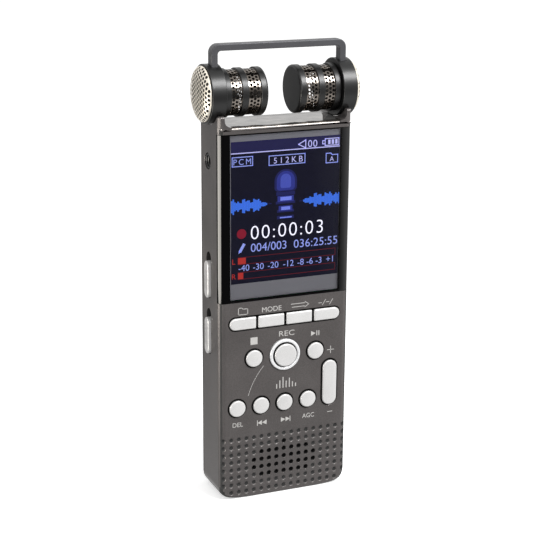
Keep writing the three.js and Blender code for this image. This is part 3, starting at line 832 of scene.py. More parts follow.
@dataclass
class Casing:
    """The front and rear shells, with the horns that cradle the microphones."""

    front_round: float = 2.0
    back_round: float = 2.6
    edge_round: float = 1.1
    horn_rise: float = 3.2
    horn_width: float = 1.8
    horn_slope: float = 2.2
    horn_round: float = 0.6
    foot_flat: float = 11.0
    foot_near: Point = (18.5, 0.15)
    foot_far: Point = (20.9, 0.7)
    foot_rise: float = 4.5
    wall: float = 1.6
    side_wall: float = 1.8
    gap: float = 0.3
    fit: float = 0.15
    hole_pitch: float = 2.5
    hole_radius: float = 0.75
    hole_rows: tuple[tuple[int, float], ...] = ((0, 2.5), (3, 1.5), (4, 0.5), (4, -0.5), (3, -1.5))
    dimple_rows: tuple[float, ...] = (3.5, 2.5, 1.5, 0.5, -0.5, -1.5, -2.5, -3.5)
    dimple_reach: int = 8
    dimple_radius: float = 0.88
    dimple_depth: float = 0.36

    def __post_init__(self) -> None:
        """Reads the casing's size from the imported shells."""
        front, rear = Box.of("front_shell"), Box.of("rear_shell")
        self.half = front.high.x
        self.front = front.low.y
        self.back = rear.high.y
        self.seam = (front.high.y, rear.low.y)
        self.horn_top = front.high.z
        self.top = self.horn_top - self.horn_rise

    def outline(self, top: float) -> list[tuple[float, float, float, float]]:
        """Draws the body's front view, with a softly curved foot.

        Args:
            top: the height of its top.

        Returns:
            Each point's x and z, and the direction that its edge faces in x and z.
        """
        curve = []
        corner = (self.half, self.foot_rise)
        controls = [Vector(p) for p in ((self.foot_flat, 0), self.foot_near, self.foot_far, corner)]
        for step in range(13):
            t = step / 12
            weights = ((1 - t) ** 3, 3 * t * (1 - t) ** 2, 3 * t * t * (1 - t), t**3)
            spot = sum((c * w for c, w in zip(controls, weights)), Vector((0, 0)))
            slopes = (-((1 - t) ** 2), (1 - t) ** 2 - 2 * t * (1 - t), 2 * t * (1 - t) - t * t, t * t)
            slope = sum((c * w for c, w in zip(controls, slopes)), Vector((0, 0))).normalized()
            curve.append((spot.x, spot.y, slope.y, -slope.x))
        turn = self.horn_round
        for step in range(5):
            angle = math.radians(90 * step / 4)
            facing = (math.cos(angle), math.sin(angle))
            curve.append((self.half - turn + turn * facing[0], top - turn + turn * facing[1], *facing))
        mirrored = [(-x, z, -facing_x, facing_z) for x, z, facing_x, facing_z in reversed(curve)]
        return curve + mirrored

    def form(self, top: float, edge: float) -> Solid:
        """Rounds the front view off towards the front and the back.

        Args:
            top: the height of its top.
            edge: the radius of its top and bottom edges.

        Returns:
            The solid.
        """
        edges = fillet(8)
        levels = [(self.front + self.front_round * behind, self.front_round) for _, behind in edges]
        levels += [(self.back - self.back_round * behind, self.back_round) for _, behind in reversed(edges)]
        rings = []
        for level, radius in levels:
            depth = min(level - self.front, self.back - level)
            side = self.inset(depth, radius)
            rim = self.inset(depth, edge)
            outline = []
            for x, z, facing_x, facing_z in self.outline(top):
                amount = side * facing_x**2 + rim * facing_z**2
                outline.append((x - amount * facing_x, z - amount * facing_z))
            rings.append((outline, level))
        return Solid.stacked(rings, Plane.FRONT)

    @staticmethod
    def inset(depth: float, radius: float) -> float:
        """How far an edge of that radius is drawn in, at a depth behind its face."""
        left = max(radius - depth, 0)
        return radius - math.sqrt(radius * radius - left * left)

    def body(self) -> Solid:
        """Joins the slab and the horns, and cuts the cradles for the microphones.

        Returns:
            The whole outer form.
        """
        whole = self.form(self.top, self.edge_round)
        for side in (-1, 1):
            inner = self.half - self.horn_width
            foot = inner - self.horn_slope
            curve = []
            for step in range(9):
                t = step / 8
                across = foot * (1 - t) ** 2 + inner * (2 * t * (1 - t) + t * t)
                up = self.top * ((1 - t) ** 2 + 2 * t * (1 - t)) + (self.horn_top - 0.8) * t * t
                curve.append((side * across, up))
            above = self.horn_top + OVER
            beyond = self.half + OVER
            root = self.top - 4
            corners = ((inner, above), (beyond, above), (beyond, root), (foot, root))
            curve += [(side * across, up) for across, up in corners]
            block = Solid.prism(curve, self.front - OVER, self.back + OVER, Plane.FRONT)
            whole.join(self.form(self.horn_top, self.horn_round).keep(block))
        for name, side in (("left", -1), ("right", 1)):
            collar = Box.of(f"{name}_collar")
            radius = collar.size.z / 2 + self.gap
            near = min(abs(collar.low.x), abs(collar.high.x)) - self.gap
            far = self.half + OVER
            profile = [(0, near), (radius, near), (radius, far), (0, far)]
            axis = Vector((0, collar.centre.y, collar.centre.z))
            whole.cut(Solid.turned(profile, Vector((side, 0, 0)), axis, 2 * FINE))
        return whole

    def well(self, outline: list[Point], centre: Point, plane: Plane, face: float, inner: float) -> Solid:
        """Makes the cutter of a hole whose mouth has a small chamfer.

        Args:
            outline: the hole's outline.
            centre: the outline's middle, from which the mouth widens.
            plane: the plane of the outline.
            face: the level of the surface it is cut into.
            inner: the level of the hole's far end.

        Returns:
            The cutter.
        """
        inward = 1 if inner > face else -1
        middle = Vector(centre)
        wide = [tuple(Vector(p) + (Vector(p) - middle).normalized() * FLARE * 1.3) for p in outline]
        mouth = [(wide, face - inward * OVER), (wide, face)]
        return Solid.stacked([*mouth, (outline, face + inward * FLARE), (outline, inner)], plane)

    def round_well(
        self, radius: float, x: float, z: float, inner: float, sides: int = FINE, flare: float = FLARE
    ) -> Solid:
        """Makes the cutter of a round hole in the front, with a small chamfer at its mouth.

        Args:
            radius: the hole's radius.
            x: its place across the front.
            z: its height.
            inner: the level of its far end.
            sides: how many sides it has.
            flare: the chamfer's width.

        Returns:
            The cutter.
        """
        wide = radius + flare
        profile = [(0, -OVER), (wide, -OVER), (wide, 0), (radius, flare), (radius, inner), (0, inner)]
        return Solid.turned(profile, Vector((0, 1, 0)), Vector((x, self.front, z)), sides)

    def dimples(self) -> Solid:
        """Makes the cutters of the dimples round the loudspeaker's holes.

        Returns:
            All of them as one solid.
        """
        radius, depth = self.dimple_radius, self.dimple_depth
        ball = (radius**2 + depth**2) / (2 * depth)
        centre = depth - ball
        span = math.asin(radius / ball)
        dent = [(ball * math.sin(span * s / 3), centre + ball * math.cos(span * s / 3)) for s in range(4)]
        profile = [*dent, (radius + 0.05, -0.05), (0, -0.05)]
        holes = {(i, row) for half, row in self.hole_rows for i in range(-half, half + 1)}
        middle = Box.of("speaker_gauze").centre
        cutters = []
        for row in self.dimple_rows:
            for i in range(-self.dimple_reach, self.dimple_reach + 1):
                if (i, row) in holes:
                    continue
                x = middle.x + i * self.hole_pitch
                lean = math.asin(max(abs(x) - self.half + self.front_round, 0) / self.front_round)
                inward = Vector((-math.copysign(math.sin(lean), x), math.cos(lean), 0))
                level = self.front + self.front_round * (1 - math.cos(lean))
                spot = Vector((x, level, middle.z + row * self.hole_pitch))
                cutters.append(Solid.turned(profile, inward, spot, 16))
        return Solid.merged(cutters)

    def front_cutters(self) -> list[Solid]:
        """Makes the cutters of everything that opens in the front.

        Returns:
            The cutters, none of which touches another of the same group.
        """
        lens, panel = Box.of("display_lens"), Box.of("lcd_panel")
        inner = self.front + self.wall + OVER
        wide = self.half + OVER
        recess = Solid.block(
            (-wide, self.front - OVER, lens.low.z - self.fit),
            (wide, lens.high.y + self.fit, lens.high.z + self.fit),
        )
        opening = Solid.block(
            (panel.low.x - self.gap, self.front, panel.low.z - self.gap),
            (panel.high.x + self.gap, 0, panel.high.z + self.gap),
        )
        keys = Keypad()
        row = keys.row_box()
        outline = stadium((row.centre.x, row.centre.z), row.size.x + 2 * self.gap, row.size.z + 2 * self.gap)
        wells = [self.well(outline, (row.centre.x, row.centre.z), Plane.FRONT, self.front, inner)]
        rocker = keys.rocker_box()
        spot = (rocker.centre.x, rocker.centre.z)
        outline = stadium(spot, rocker.size.x + 2 * self.gap, rocker.size.z + 2 * self.gap, 12)
        wells.append(self.well(outline, spot, Plane.FRONT, self.front, inner))
        depth = inner - self.front
        for node in keys.round_nodes:
            box = Box.of(node)
            radius = box.size.x / 2 - keys.flange + self.gap
            wells.append(self.round_well(radius, box.centre.x, box.centre.z, depth))
        ring = Box.of("record_ring")
        radius = ring.size.x / 2 - keys.ring_lip + self.fit
        wells.append(self.round_well(radius, ring.centre.x, ring.centre.z, depth))
        middle = Box.of("speaker_gauze").centre
        for half, level in self.hole_rows:
            for i in range(-half, half + 1):
                x, z = middle.x + i * self.hole_pitch, middle.z + level * self.hole_pitch
                wells.append(self.round_well(self.hole_radius, x, z, depth, 20, 0.04))
        return [recess, opening, Solid.merged(wells), self.dimples()]

    def side_cutters(self) -> list[Solid]:
        """Makes the cutters of the slots and sockets in the two sides.

        Returns:
            The cutters.
        """
        controls = SideControls()
        inner = self.half - self.side_wall - OVER
        wells = []
        for name in controls.switches:
            low, high, y = controls.slot(name)
            spot = (y, (low + high) / 2)
            outline = stadium(spot, controls.slot_width, high - low, 12)
            wells.append(self.well(outline, spot, Plane.SIDE, -self.half, -inner))
        jack = Box.of("headphone_jack").centre
        wide = controls.jack_mouth + FLARE
        profile = [(0, -OVER), (wide, -OVER), (wide, 0), (controls.jack_mouth, FLARE)]
        profile += [(controls.jack_mouth, self.half - inner), (0, self.half - inner)]
        wells.append(Solid.turned(profile, Vector((1, 0, 0)), Vector((-self.half, jack.y, jack.z))))
        socket = Box.of("usb_socket")
        outline = controls.usb_outline(self.fit)
        spot = (socket.centre.y, socket.centre.z)
        wells.append(self.well(outline, spot, Plane.SIDE, self.half, inner))
        return [Solid.merged(wells)]

    def build(self) -> None:
        """Makes both shells."""
        form = self.body()
        copy = form.mesh.copy()
        wide, high = self.half + OVER, self.horn_top + OVER
        room = self.half - self.side_wall
        ceiling = self.top - self.side_wall
        hollow = ((-room, self.front + self.wall, self.side_wall), (room, self.seam[0] + OVER, ceiling))
        form.cut(Solid.block((-wide, self.seam[0], -OVER), (wide, self.back + OVER, high)))
        form.cut(Solid.block(*hollow), *self.side_cutters())
        for cutter in self.front_cutters():
            form.cut(cutter)
        place = Place("body", "shell", ("front_shell",))
        self.paint(finished("front_casing", form, [SHELL_PAINT, TOP_GLOSS_PAINTED_SHEEN, BLACK_PLASTIC], place))

        form.mesh = copy
        form.cut(Solid.block((-wide, self.front - OVER, -OVER), (wide, self.seam[1], high)))
        floor, inner_back = self.side_wall, self.back - self.wall
        form.cut(Solid.block((-room, self.seam[1] - OVER, floor), (room, inner_back, ceiling)))
        form.cut(self.screw_wells())
        place = Place("body", "shell", ("rear_shell",))
        self.paint(finished("rear_casing", form, [SHELL_PAINT, TOP_GLOSS_PAINTED_SHEEN, BLACK_PLASTIC], place))

    def screw_wells(self) -> Solid:
        """Makes the cutters of the wells for the rear screws.

        Returns:
            All of them as one solid.
        """
        wells = []
        for i in range(1, 5):
            screw = Box.of(f"rear_screw_{i}")
            radius = screw.size.x / 2 + 0.2
            wide = radius + FLARE
            depth = self.back - screw.high.y + 1.2
            profile = [(0, -OVER), (wide, -OVER), (wide, 0), (radius, FLARE), (radius, depth), (0, depth)]
            spot = Vector((screw.centre.x, self.back, screw.centre.z))
            wells.append(Solid.turned(profile, Vector((0, -1, 0)), spot))
        return Solid.merged(wells)

    def paint(self, shell: bpy.types.Object) -> None:
        """Gives the flat top a glossier finish whose lighter colour is a painted reflection, and leaves the
        inside in bare dark plastic, which also paints shade into the walls of the holes.

        Args:
            shell: a finished shell.
        """
        skin = 0.25
        foot = self.top - self.edge_round

        def inside(middle: Vector, _: Vector) -> bool:
            """Tells whether a face is deeper than the skin of the casing."""
            across = abs(middle.x) < self.half - skin
            return across and self.front + skin < middle.y < self.back - skin and skin < middle.z < foot

        top = self.top + 0.1
        # Upward faces of the top get the glossier finish, lighter in colour as a painted reflection.
        repaint(shell, 1, lambda middle, facing: facing.z > 0.5 and foot < middle.z < top)
        # Faces deeper than the skin get bare dark plastic; in the holes and key wells this also stands for
        # painted shade.
        repaint(shell, 2, inside)


@dataclass
class Window:
    """The display's lens: black borders round a clear middle, wrapped round the front corners."""

    face: float = 1.1
    rail: float = 2.0
    border: float = 0.25
    mask: float = 3.4  # width of the black at each side

    def build(self) -> None:
        """Makes the lens out of the casing's own form, so that it lies flush."""
        casing = Casing()
        lens = Box.of("display_lens")
        wide = casing.half + OVER
        slab = Solid.block((-wide, casing.front - OVER, lens.low.z), (wide, lens.high.y, lens.high.z))
        form = casing.form(casing.top, casing.edge_round).keep(slab)
        half = casing.half - self.rail
        back = casing.front + self.face
        form.cut(Solid.block((-half, back, lens.low.z - OVER), (half, 0, lens.high.z + OVER)))
        edge = casing.half - self.mask
        low, high = lens.low.z + self.border, lens.high.z - self.border
        shape = bmesh.new()
        shape.from_mesh(form.mesh)
        for offset, axis in ((edge, 0), (-edge, 0), (low, 2), (high, 2)):
            normal = Vector((0, 0, 0))
            normal[axis] = 1
            geometry = [*shape.verts, *shape.edges, *shape.faces]
            bmesh.ops.bisect_plane(shape, geom=geometry, plane_co=normal * offset, plane_no=normal)
        shape.to_mesh(form.mesh)
        shape.free()
        place = Place("body", "lens", ("display_lens",))
        piece = finished("window", form, [LENS_BLACK, LENS_CLEAR, LENS_INNER], place)

        def clear(middle: Vector, way: float) -> bool:
            """Tells whether a face that faces a way along Y is in the clear middle."""
            return abs(middle.x) < edge and low < middle.z < high and way > 0.9

        repaint(piece, 1, lambda middle, facing: clear(middle, -facing.y))
        repaint(piece, 2, lambda middle, facing: clear(middle, facing.y))


@dataclass
class Display:
    """The panel behind the lens and the picture on it, built up in thin layers."""

    film: float = 0.2  # thickness of the film on the panel
    left: float = -17.1  # the lit area
    right: float = 17.75
    bottom: float = 69.4
    top: float = 112.45
    layer: float = 0.012

    def __post_init__(self) -> None:
        """Reads the panel's place and starts with no pieces."""
        self.panel = Box.of("lcd_panel")
        self.level = self.panel.low.y - self.film
        self.count = 0

    def sheet(self, name: str, outlines: list[list[Point]], ink: Ink, height: float) -> None:
        """Makes one thin layer of the picture.

        Args:
            name: the layer's name.
            outlines: its outlines, in x and z.
            ink: its colour.
            height: how far it stands in front of the film, in layers.
        """
        front = self.level - height * self.layer
        solids = [Solid.prism(o, front, front + self.layer * 0.9, Plane.FRONT) for o in outlines]
        finished("display_" + name, Solid.merged(solids), [ink.finish], Place("body", "display"))

    def box(self, x0: float, x1: float, z0: float, z1: float) -> list[Point]:
        """Outlines a rectangle."""
        return [(x0, z0), (x1, z0), (x1, z1), (x0, z1)]

    def frame_of(self, x0: float, x1: float, z0: float, z1: float, width: float) -> list[list[Point]]:
        """Outlines the four sides of a rectangular frame."""
        return ribbon(self.box(x0, x1, z0, z1), width, closed=True)

    def lettering(
        self, name: str, words: str, spot: Point, height: float, ink: Ink, width: float = 0, stroke: float = 0
    ) -> None:
        """Writes on the display.

        Args:
            name: the piece's name.
            words: what it says.
            spot: its lower left corner, in x and z.
            height: the height of its capitals.
            ink: its colour.
            width: how wide the whole is, the letters being spread out to fill it, or 0 for their own spacing.
            stroke: how much bolder than the font it is.
        """
        style = Style(height, stroke=stroke, width=width)
        solid = style.write(words, spot, self.level - 3 * self.layer, self.layer)
        finished("display_" + name, solid, [ink.finish], Place("body", "display"))

    def build(self) -> None:
        """Makes the panel, its film and the whole picture."""
        dress("lcd_panel", PANEL_GLASS, 0.05)
        dress("lcd_backlight", FOIL, 0.05)
        panel = self.panel
        film = Solid.block((panel.low.x, self.level, panel.low.z), (panel.high.x, panel.low.y, panel.high.z))
        finished("display_film", film, [LCD_FILM], Place("body", "display"))
        night = self.box(self.left, self.right, self.bottom, self.top)
        self.sheet("night", [night], Ink.NIGHT, 1)
        line = 109.0
        self.sheet("bar", [self.box(self.left, self.right, line, self.top)], Ink.BAR, 2)
        self.sheet("bar_line", [self.box(self.left, self.right, line - 0.15, line + 0.15)], Ink.LAVENDER, 3)
        self.status()
        self.microphone()
        self.waves()
        self.counters()
        self.meters()

    def status(self) -> None:
        """Draws the status bar's signs and the three boxes under it."""
        horn = [(4.3, 110.4), (6.6, 111.6), (6.6, 109.2)]
        self.sheet("volume_sign", ribbon(horn, 0.28, closed=True), Ink.LAVENDER, 4)
        self.lettering("volume_level", "00", (7.35, 109.35), 2.2, Ink.LAVENDER, 3.0)
        cell = self.frame_of(12.9, 17.4, 109.45, 111.5, 0.26)
        cell += ribbon([(12.9, 110.95), (12.1, 110.95), (12.1, 110.0), (12.9, 110.0)], 0.26)
        bars = [self.box(x, x + 0.75, 109.8, 111.15) for x in (13.9, 15.05, 16.2)]
        self.sheet("battery_sign", cell + bars, Ink.LAVENDER, 4)
        frames = self.frame_of(-16.7, -10.3, 105.15, 107.85, 0.26)
        frames += self.frame_of(-5.1, 6.4, 104.75, 107.55, 0.26)
        tab = [(13.3, 104.15), (13.3, 107.05), (14.8, 107.05), (15.3, 106.55), (17.1, 106.55), (17.1, 104.15)]
        frames += ribbon(tab, 0.26, closed=True)
        self.sheet("boxes", frames, Ink.PALE_BLUE, 4)
        self.lettering("format", "PCM", (-16.3, 105.6), 1.8, Ink.PALE_BLUE, 5.5)
        self.lettering("rate", "512KB", (-3.6, 105.2), 1.85, Ink.LAVENDER, 9.3)
        self.lettering("folder_letter", "A", (14.5, 104.6), 1.5, Ink.LAVENDER)

    def microphone(self) -> None:
        """Draws the blue microphone in the middle."""
        x = 0.3
        layers = (
            (3.6, 103.3, 96.6, Ink.DOME_SHADE),
            (2.9, 102.7, 96.9, Ink.DOME),
            (1.7, 101.9, 97.6, Ink.DOME_LIGHT),
        )
        for height, (half, top, foot, ink) in enumerate(layers, 2):
            dome = ring_path((x, top - half), half, 0, 180, 28)
            turn = half * 0.35
            lower = ring_path((x - half + turn, foot + turn), turn, 180, 90, 6)
            lower += ring_path((x + half - turn, foot + turn), turn, 270, 90, 6)
            self.sheet("dome_" + ink.name.lower(), [dome + lower], ink, height)
        bands = ((3.0, 95.4, 0.55), (3.1, 92.8, 0.3), (2.7, 90.2, 0.3), (2.7, 88.2, 0.45))
        dark = [self.box(x - w, x + w, z, z + h + 0.5) for w, z, h in bands]
        self.sheet("base_shade", dark, Ink.DOME_SHADE, 2)
        lights = [self.box(x - 2.6, x + 2.6, 93.4, 95.2), self.box(x - 2.2, x + 2.2, 90.6, 92.2)]
        self.sheet("base", lights, Ink.DOME, 3)
        glints = [self.box(x - 1.7, x + 1.9, 93.8, 94.9), self.box(x - 1.4, x + 1.5, 90.9, 91.9)]
        glints.append(self.box(x - 1.8, x + 2.0, 88.4, 88.8))
        self.sheet("base_glint", glints, Ink.GLINT, 4)

    def waves(self) -> None:
        """Draws the ragged blue wave on both sides of the microphone."""
        middle, strip = 93.2, 0.5
        bars = []
        for left, right in ((self.left, -5.4), (6.0, self.right)):
            count = round((right - left) / strip)
            for i in range(count):
                near = min(i if left > 0 else count - 1 - i, 6) / 6
                swing = 1.15 + 0.5 * math.sin(i * 1.9) + 0.45 * math.sin(i * 0.83 + 1)
                reach = 0.35 + near * max(swing, 0.5)
                x = left + i * strip
                bars.append(self.box(x, x + strip * 0.96, middle - reach, middle + reach * 0.94))
        self.sheet("wave", bars, Ink.WAVE, 3)
        line = [self.box(x, x + 1.2, middle - 0.1, middle + 0.1) for x in (-5.4, 4.8)]
        self.sheet("wave_line", line, Ink.DOME_SHADE, 3)

    def counters(self) -> None:
        """Writes the running time, the file number and the time left."""
        self.lettering("time", "00:00:03", (-10.8, 82.75), 4.4, Ink.WHITE, 23.4, -0.012)
        self.sheet("record_dot", [ring_path((-13.75, 84.75), 1.5, 0, 360, 32)[:-1]], Ink.RED_DOT, 3)
        self.lettering("file", "004/003", (-10.8, 78.95), 2.65, Ink.PALE_BLUE, 11.5)
        self.lettering("left", "036:25:55", (3.1, 78.85), 2.65, Ink.PALE_BLUE, 14.4)
        barrel = ribbon([(-14.1, 79.6), (-13.1, 81.3)], 0.9)
        nib = [[(-14.75, 78.7), (-13.95, 79.2), (-14.55, 79.75)]]
        self.sheet("pen", barrel + nib, Ink.PALE_BLUE, 4)

    def meters(self) -> None:
        """Draws the two level meters and the scale between them."""
        left, right = -14.9, 16.9
        for name, low, high, fill in (("left", 75.4, 77.5, 2.5), ("right", 70.8, 72.9, 1.7)):
            lines = [self.box(left, right, z - 0.09, z + 0.09) for z in (low, high)]
            lines.append(self.box(right - 0.15, right, low, high))
            self.sheet(f"meter_{name}", lines, Ink.DARK_RED, 3)
            self.sheet(f"level_{name}", [self.box(left, left + fill, low + 0.1, high - 0.1)], Ink.RED, 4)
        self.lettering("meter_l", "L", (-16.7, 75.6), 1.7, Ink.RED)
        self.lettering("meter_r", "R", (-16.8, 71.0), 1.7, Ink.RED)
        marks = ("-40", "-30", "-20", "-12", "-8", "-6", "-3", "+1")
        places = (-14.7, -10.05, -5.3, -0.3, 4.4, 7.4, 10.4, 13.9)
        for mark, x in zip(marks, places):
            name = "mark" + mark.replace("-", "_minus_").replace("+", "_plus_")
            self.lettering(name, mark, (x, 73.3), 2.0, Ink.PALE_BLUE)


@dataclass(frozen=True)
class Style:
    """A plain lettering style."""

    height: float  # of its capitals
    narrow: float = 1.0
    stroke: float = 0.0  # how much bolder than the font, as a share of the height
    width: float = 0.0  # of the whole, which the letters are spread out to fill
    capital: float = 0.729  # height of a capital in a font of size 1

    def write(self, words: str, spot: Point, level: float, thick: float, centred: bool = False) -> Solid:
        """Writes words on the front, to be read from it.

        Args:
            words: what to write.
            spot: the place in x and z of the words' lower left corner, or of their middle's foot.
            level: the place of their face along Y.
            thick: how thick they are.
            centred: whether spot is their middle.

        Returns:
            The letters as one solid.
        """
        text = bpy.data.curves.new("words", "FONT")
        text.body = words
        text.size = 1
        text.offset = self.stroke
        text.resolution_u = 6
        text.extrude = 0.5
        holder = bpy.data.objects.new("words", text)
        bpy.context.scene.collection.objects.link(holder)
        scale = self.height / self.capital
        if self.width:
            widths = []
            for spacing in (1.0, 2.0):
                text.space_character = spacing
                bpy.context.view_layer.update()
                widths.append(holder.dimensions.x * scale * self.narrow)
            text.space_character = 1 + (self.width - widths[0]) / (widths[1] - widths[0])
        bpy.context.view_layer.update()
        mesh = bpy.data.meshes.new_from_object(holder.evaluated_get(bpy.context.evaluated_depsgraph_get()))
        bpy.data.objects.remove(holder)
        bpy.data.curves.remove(text)
        xs = [v.co.x for v in mesh.vertices]
        start = (min(xs) + max(xs)) / 2 if centred else min(xs)
        shape = bmesh.new()
        shape.from_mesh(mesh)
        bpy.data.meshes.remove(mesh)
        bmesh.ops.remove_doubles(shape, verts=shape.verts, dist=1e-5)
        for vertex in shape.verts:
            x, up, out = vertex.co
            across = spot[0] + (x - start) * scale * self.narrow
            vertex.co = (across, level + (0.5 - out) * thick, spot[1] + up * scale)
        return Solid(shape)


@dataclass
class Keypad:
    """The keys on the front, the bright ring, the rocker, the rubber mat and the printed signs."""

    flange: float = 0.7  # how far a key's hidden flange reaches past its cap
    flange_thick: float = 0.5
    ring_lip: float = 0.6
    rocker_flange: float = 0.6
    soft_flange: float = 0.8
    soft_height: float = 4.0
    crown: float = 0.12
    edge: float = 0.45
    play: float = 0.14  # how much smaller a cap is than its space
    print_out: float = 0.03
    round_nodes: tuple[str, ...] = (
        "stop_button",
        "play_button",
        "delete_button",
        "back_button",
        "forward_button",
        "gain_button",
    )

    def row_box(self) -> Box:
        """Gives the box of the row of soft keys' caps."""
        inward = Vector((0, 0, self.soft_flange))
        return Box(Box.of("soft_key_1").low + inward, Box.of("soft_key_4").high - inward)

    def rocker_box(self) -> Box:
        """Gives the box of the rocker's cap."""
        box = Box.of("volume_rocker")
        inward = Vector((self.rocker_flange, 0, self.rocker_flange))
        return Box(box.low + inward, box.high - inward)

    def round_key(self, node: str, name: str, dish: float = 0.0, slack: float = 0.0) -> None:
        """Makes a round key: a softly crowned cap on a flange.

        Args:
            node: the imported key.
            name: the piece's name.
            dish: how far the middle of the cap is hollowed.
            slack: how much smaller than usual it is.
        """
        box = Box.of(node)
        wide = box.size.x / 2
        radius = wide - self.flange - self.play - slack
        face = box.low.y
        back = box.high.y - 0.1
        top = self.crown
        profile = []
        for step in range(7):
            share = step / 6
            run = (radius - self.edge) * share
            profile.append((run, top * share**2 + dish * (1 - share**2)))
        profile += [(radius - self.edge * inset, top + self.edge * behind) for inset, behind in fillet(8)[1:]]
        plate = back - self.flange_thick - face
        profile += [(radius, plate), (wide, plate), (wide, back - face), (0, back - face)]
        solid = Solid.turned(profile, Vector((0, 1, 0)), Vector((box.centre.x, face, box.centre.z)), 2 * FINE)
        self.key(name, solid, node)

    def key(self, name: str, solid: Solid, node: str) -> None:
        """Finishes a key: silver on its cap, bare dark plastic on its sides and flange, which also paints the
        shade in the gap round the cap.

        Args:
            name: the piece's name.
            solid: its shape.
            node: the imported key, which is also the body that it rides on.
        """
        piece = finished(name, solid, [KEY_SILVER, BLACK_PLASTIC], Place(node, "keys", (node,)))
        skirt = Box.of(node).low.y + self.crown + self.edge
        # The dark sides below the cap's edge are partly painted shade of the gap round the key.
        repaint(piece, 1, lambda middle, _: middle.y > skirt + 0.01)

    def cap_rings(
        self, low: Point, high: Point, radii: tuple[float, ...], face: float, back: float
    ) -> list[tuple[list[Point], float]]:
        """Draws the rings of a key's cap, crowned and rounded over its edge.

        Args:
            low: the cap's lower left corner.
            high: its upper right corner.
            radii: the radius at each corner.
            face: the level of its face.
            back: the level of its back.

        Returns:
            The rings, from the face back.
        """
        rings = []
        for inset, behind in fillet(7):
            outline = self.inset_rect(low, high, radii, self.edge * inset)
            rings.append((outline, face + self.crown + self.edge * behind))
        centre = self.inset_rect(low, high, radii, min(high[1] - low[1], high[0] - low[0]) * 0.32)
        rings.insert(0, (centre, face + self.crown * 0.25))
        rings.append((rings[-1][0], back))
        return rings

    @staticmethod
    def inset_rect(low: Point, high: Point, radii: tuple[float, ...], inset: float) -> list[Point]:
        """Draws a round-cornered rectangle, drawn in all round."""
        smaller = tuple(max(radius - inset, 0.05) for radius in radii)
        return rounded((low[0] + inset, low[1] + inset), (high[0] - inset, high[1] - inset), smaller)

    def soft_keys(self) -> None:
        """Makes the row of four soft keys."""
        for i in range(1, 5):
            node = f"soft_key_{i}"
            box = Box.of(node)
            z = box.centre.z
            play = 0.05
            half = self.soft_height / 2 - self.play
            end, corner = half - 0.01, 0.4
            radii = (end, corner, corner, end) if i == 1 else (corner, end, end, corner)
            if i in (2, 3):
                radii = (corner,) * 4
            back = box.high.y - self.flange_thick
            low, high = (box.low.x + play, z - half), (box.high.x - play, z + half)
            rings = self.cap_rings(low, high, radii, box.low.y, back)
            solid = Solid.stacked(rings, Plane.FRONT)
            plate = Solid.block((box.low.x, back - 0.05, box.low.z), tuple(box.high))
            self.key(f"soft_key_cap_{i}", solid.join(plate), node)

    def rocker(self) -> None:
        """Makes the volume rocker."""
        box, cap = Box.of("volume_rocker"), self.rocker_box()
        radius = cap.size.x / 2 - self.play - 0.01
        back = box.high.y - self.flange_thick
        low = (cap.low.x + self.play, cap.low.z + self.play)
        high = (cap.high.x - self.play, cap.high.z - self.play)
        solid = Solid.stacked(self.cap_rings(low, high, (radius,) * 4, box.low.y, back), Plane.FRONT)
        spot = (box.centre.x, box.centre.z)
        plate = Solid.prism(stadium(spot, box.size.x, box.size.z), back - 0.05, box.high.y, Plane.FRONT)
        self.key("rocker_cap", solid.join(plate), "volume_rocker")

    def bezel(self) -> None:
        """Makes the bright ring round the record key."""
        box = Box.of("record_ring")
        outer = box.size.x / 2 - self.ring_lip
        inner = outer - 1.05
        middle, half = (outer + inner) / 2, (outer - inner) / 2
        depth = box.size.y
        profile = [(inner, depth)]
        for step in range(13):
            angle = math.pi * step / 12
            profile.append((middle - half * math.cos(angle), 0.42 * (1 - math.sin(angle))))
        wide = outer + self.ring_lip
        profile += [(outer, depth - 0.2), (wide, depth - 0.2), (wide, depth), (inner, depth)]
        spot = Vector((box.centre.x, box.low.y, box.centre.z))
        solid = Solid.turned(profile, Vector((0, 1, 0)), spot, 2 * FINE)
        finished("record_bezel", solid, [BEZEL_CHROME], Place("body", "bright_ring", ("record_ring",)))

    def sign(self, name: str, outlines: list[list[Point]]) -> None:
        """Prints a sign on the front."""
        level, out = Box.of("front_shell").low.y, self.print_out
        solids = [Solid.prism(outline, level - out, level + out, Plane.FRONT) for outline in outlines]
        finished("sign_" + name, Solid.merged(solids), [LEGEND_INK], Place("body", "shell"))

    def word(self, name: str, words: str, spot: Point, height: float, narrow: float = 1.0) -> None:
        """Prints a word on the front, about its middle."""
        level = Box.of("front_shell").low.y - self.print_out
        solid = Style(height, narrow).write(words, spot, level, 2 * self.print_out, centred=True)
        finished("sign_" + name, solid, [LEGEND_INK], Place("body", "shell"))

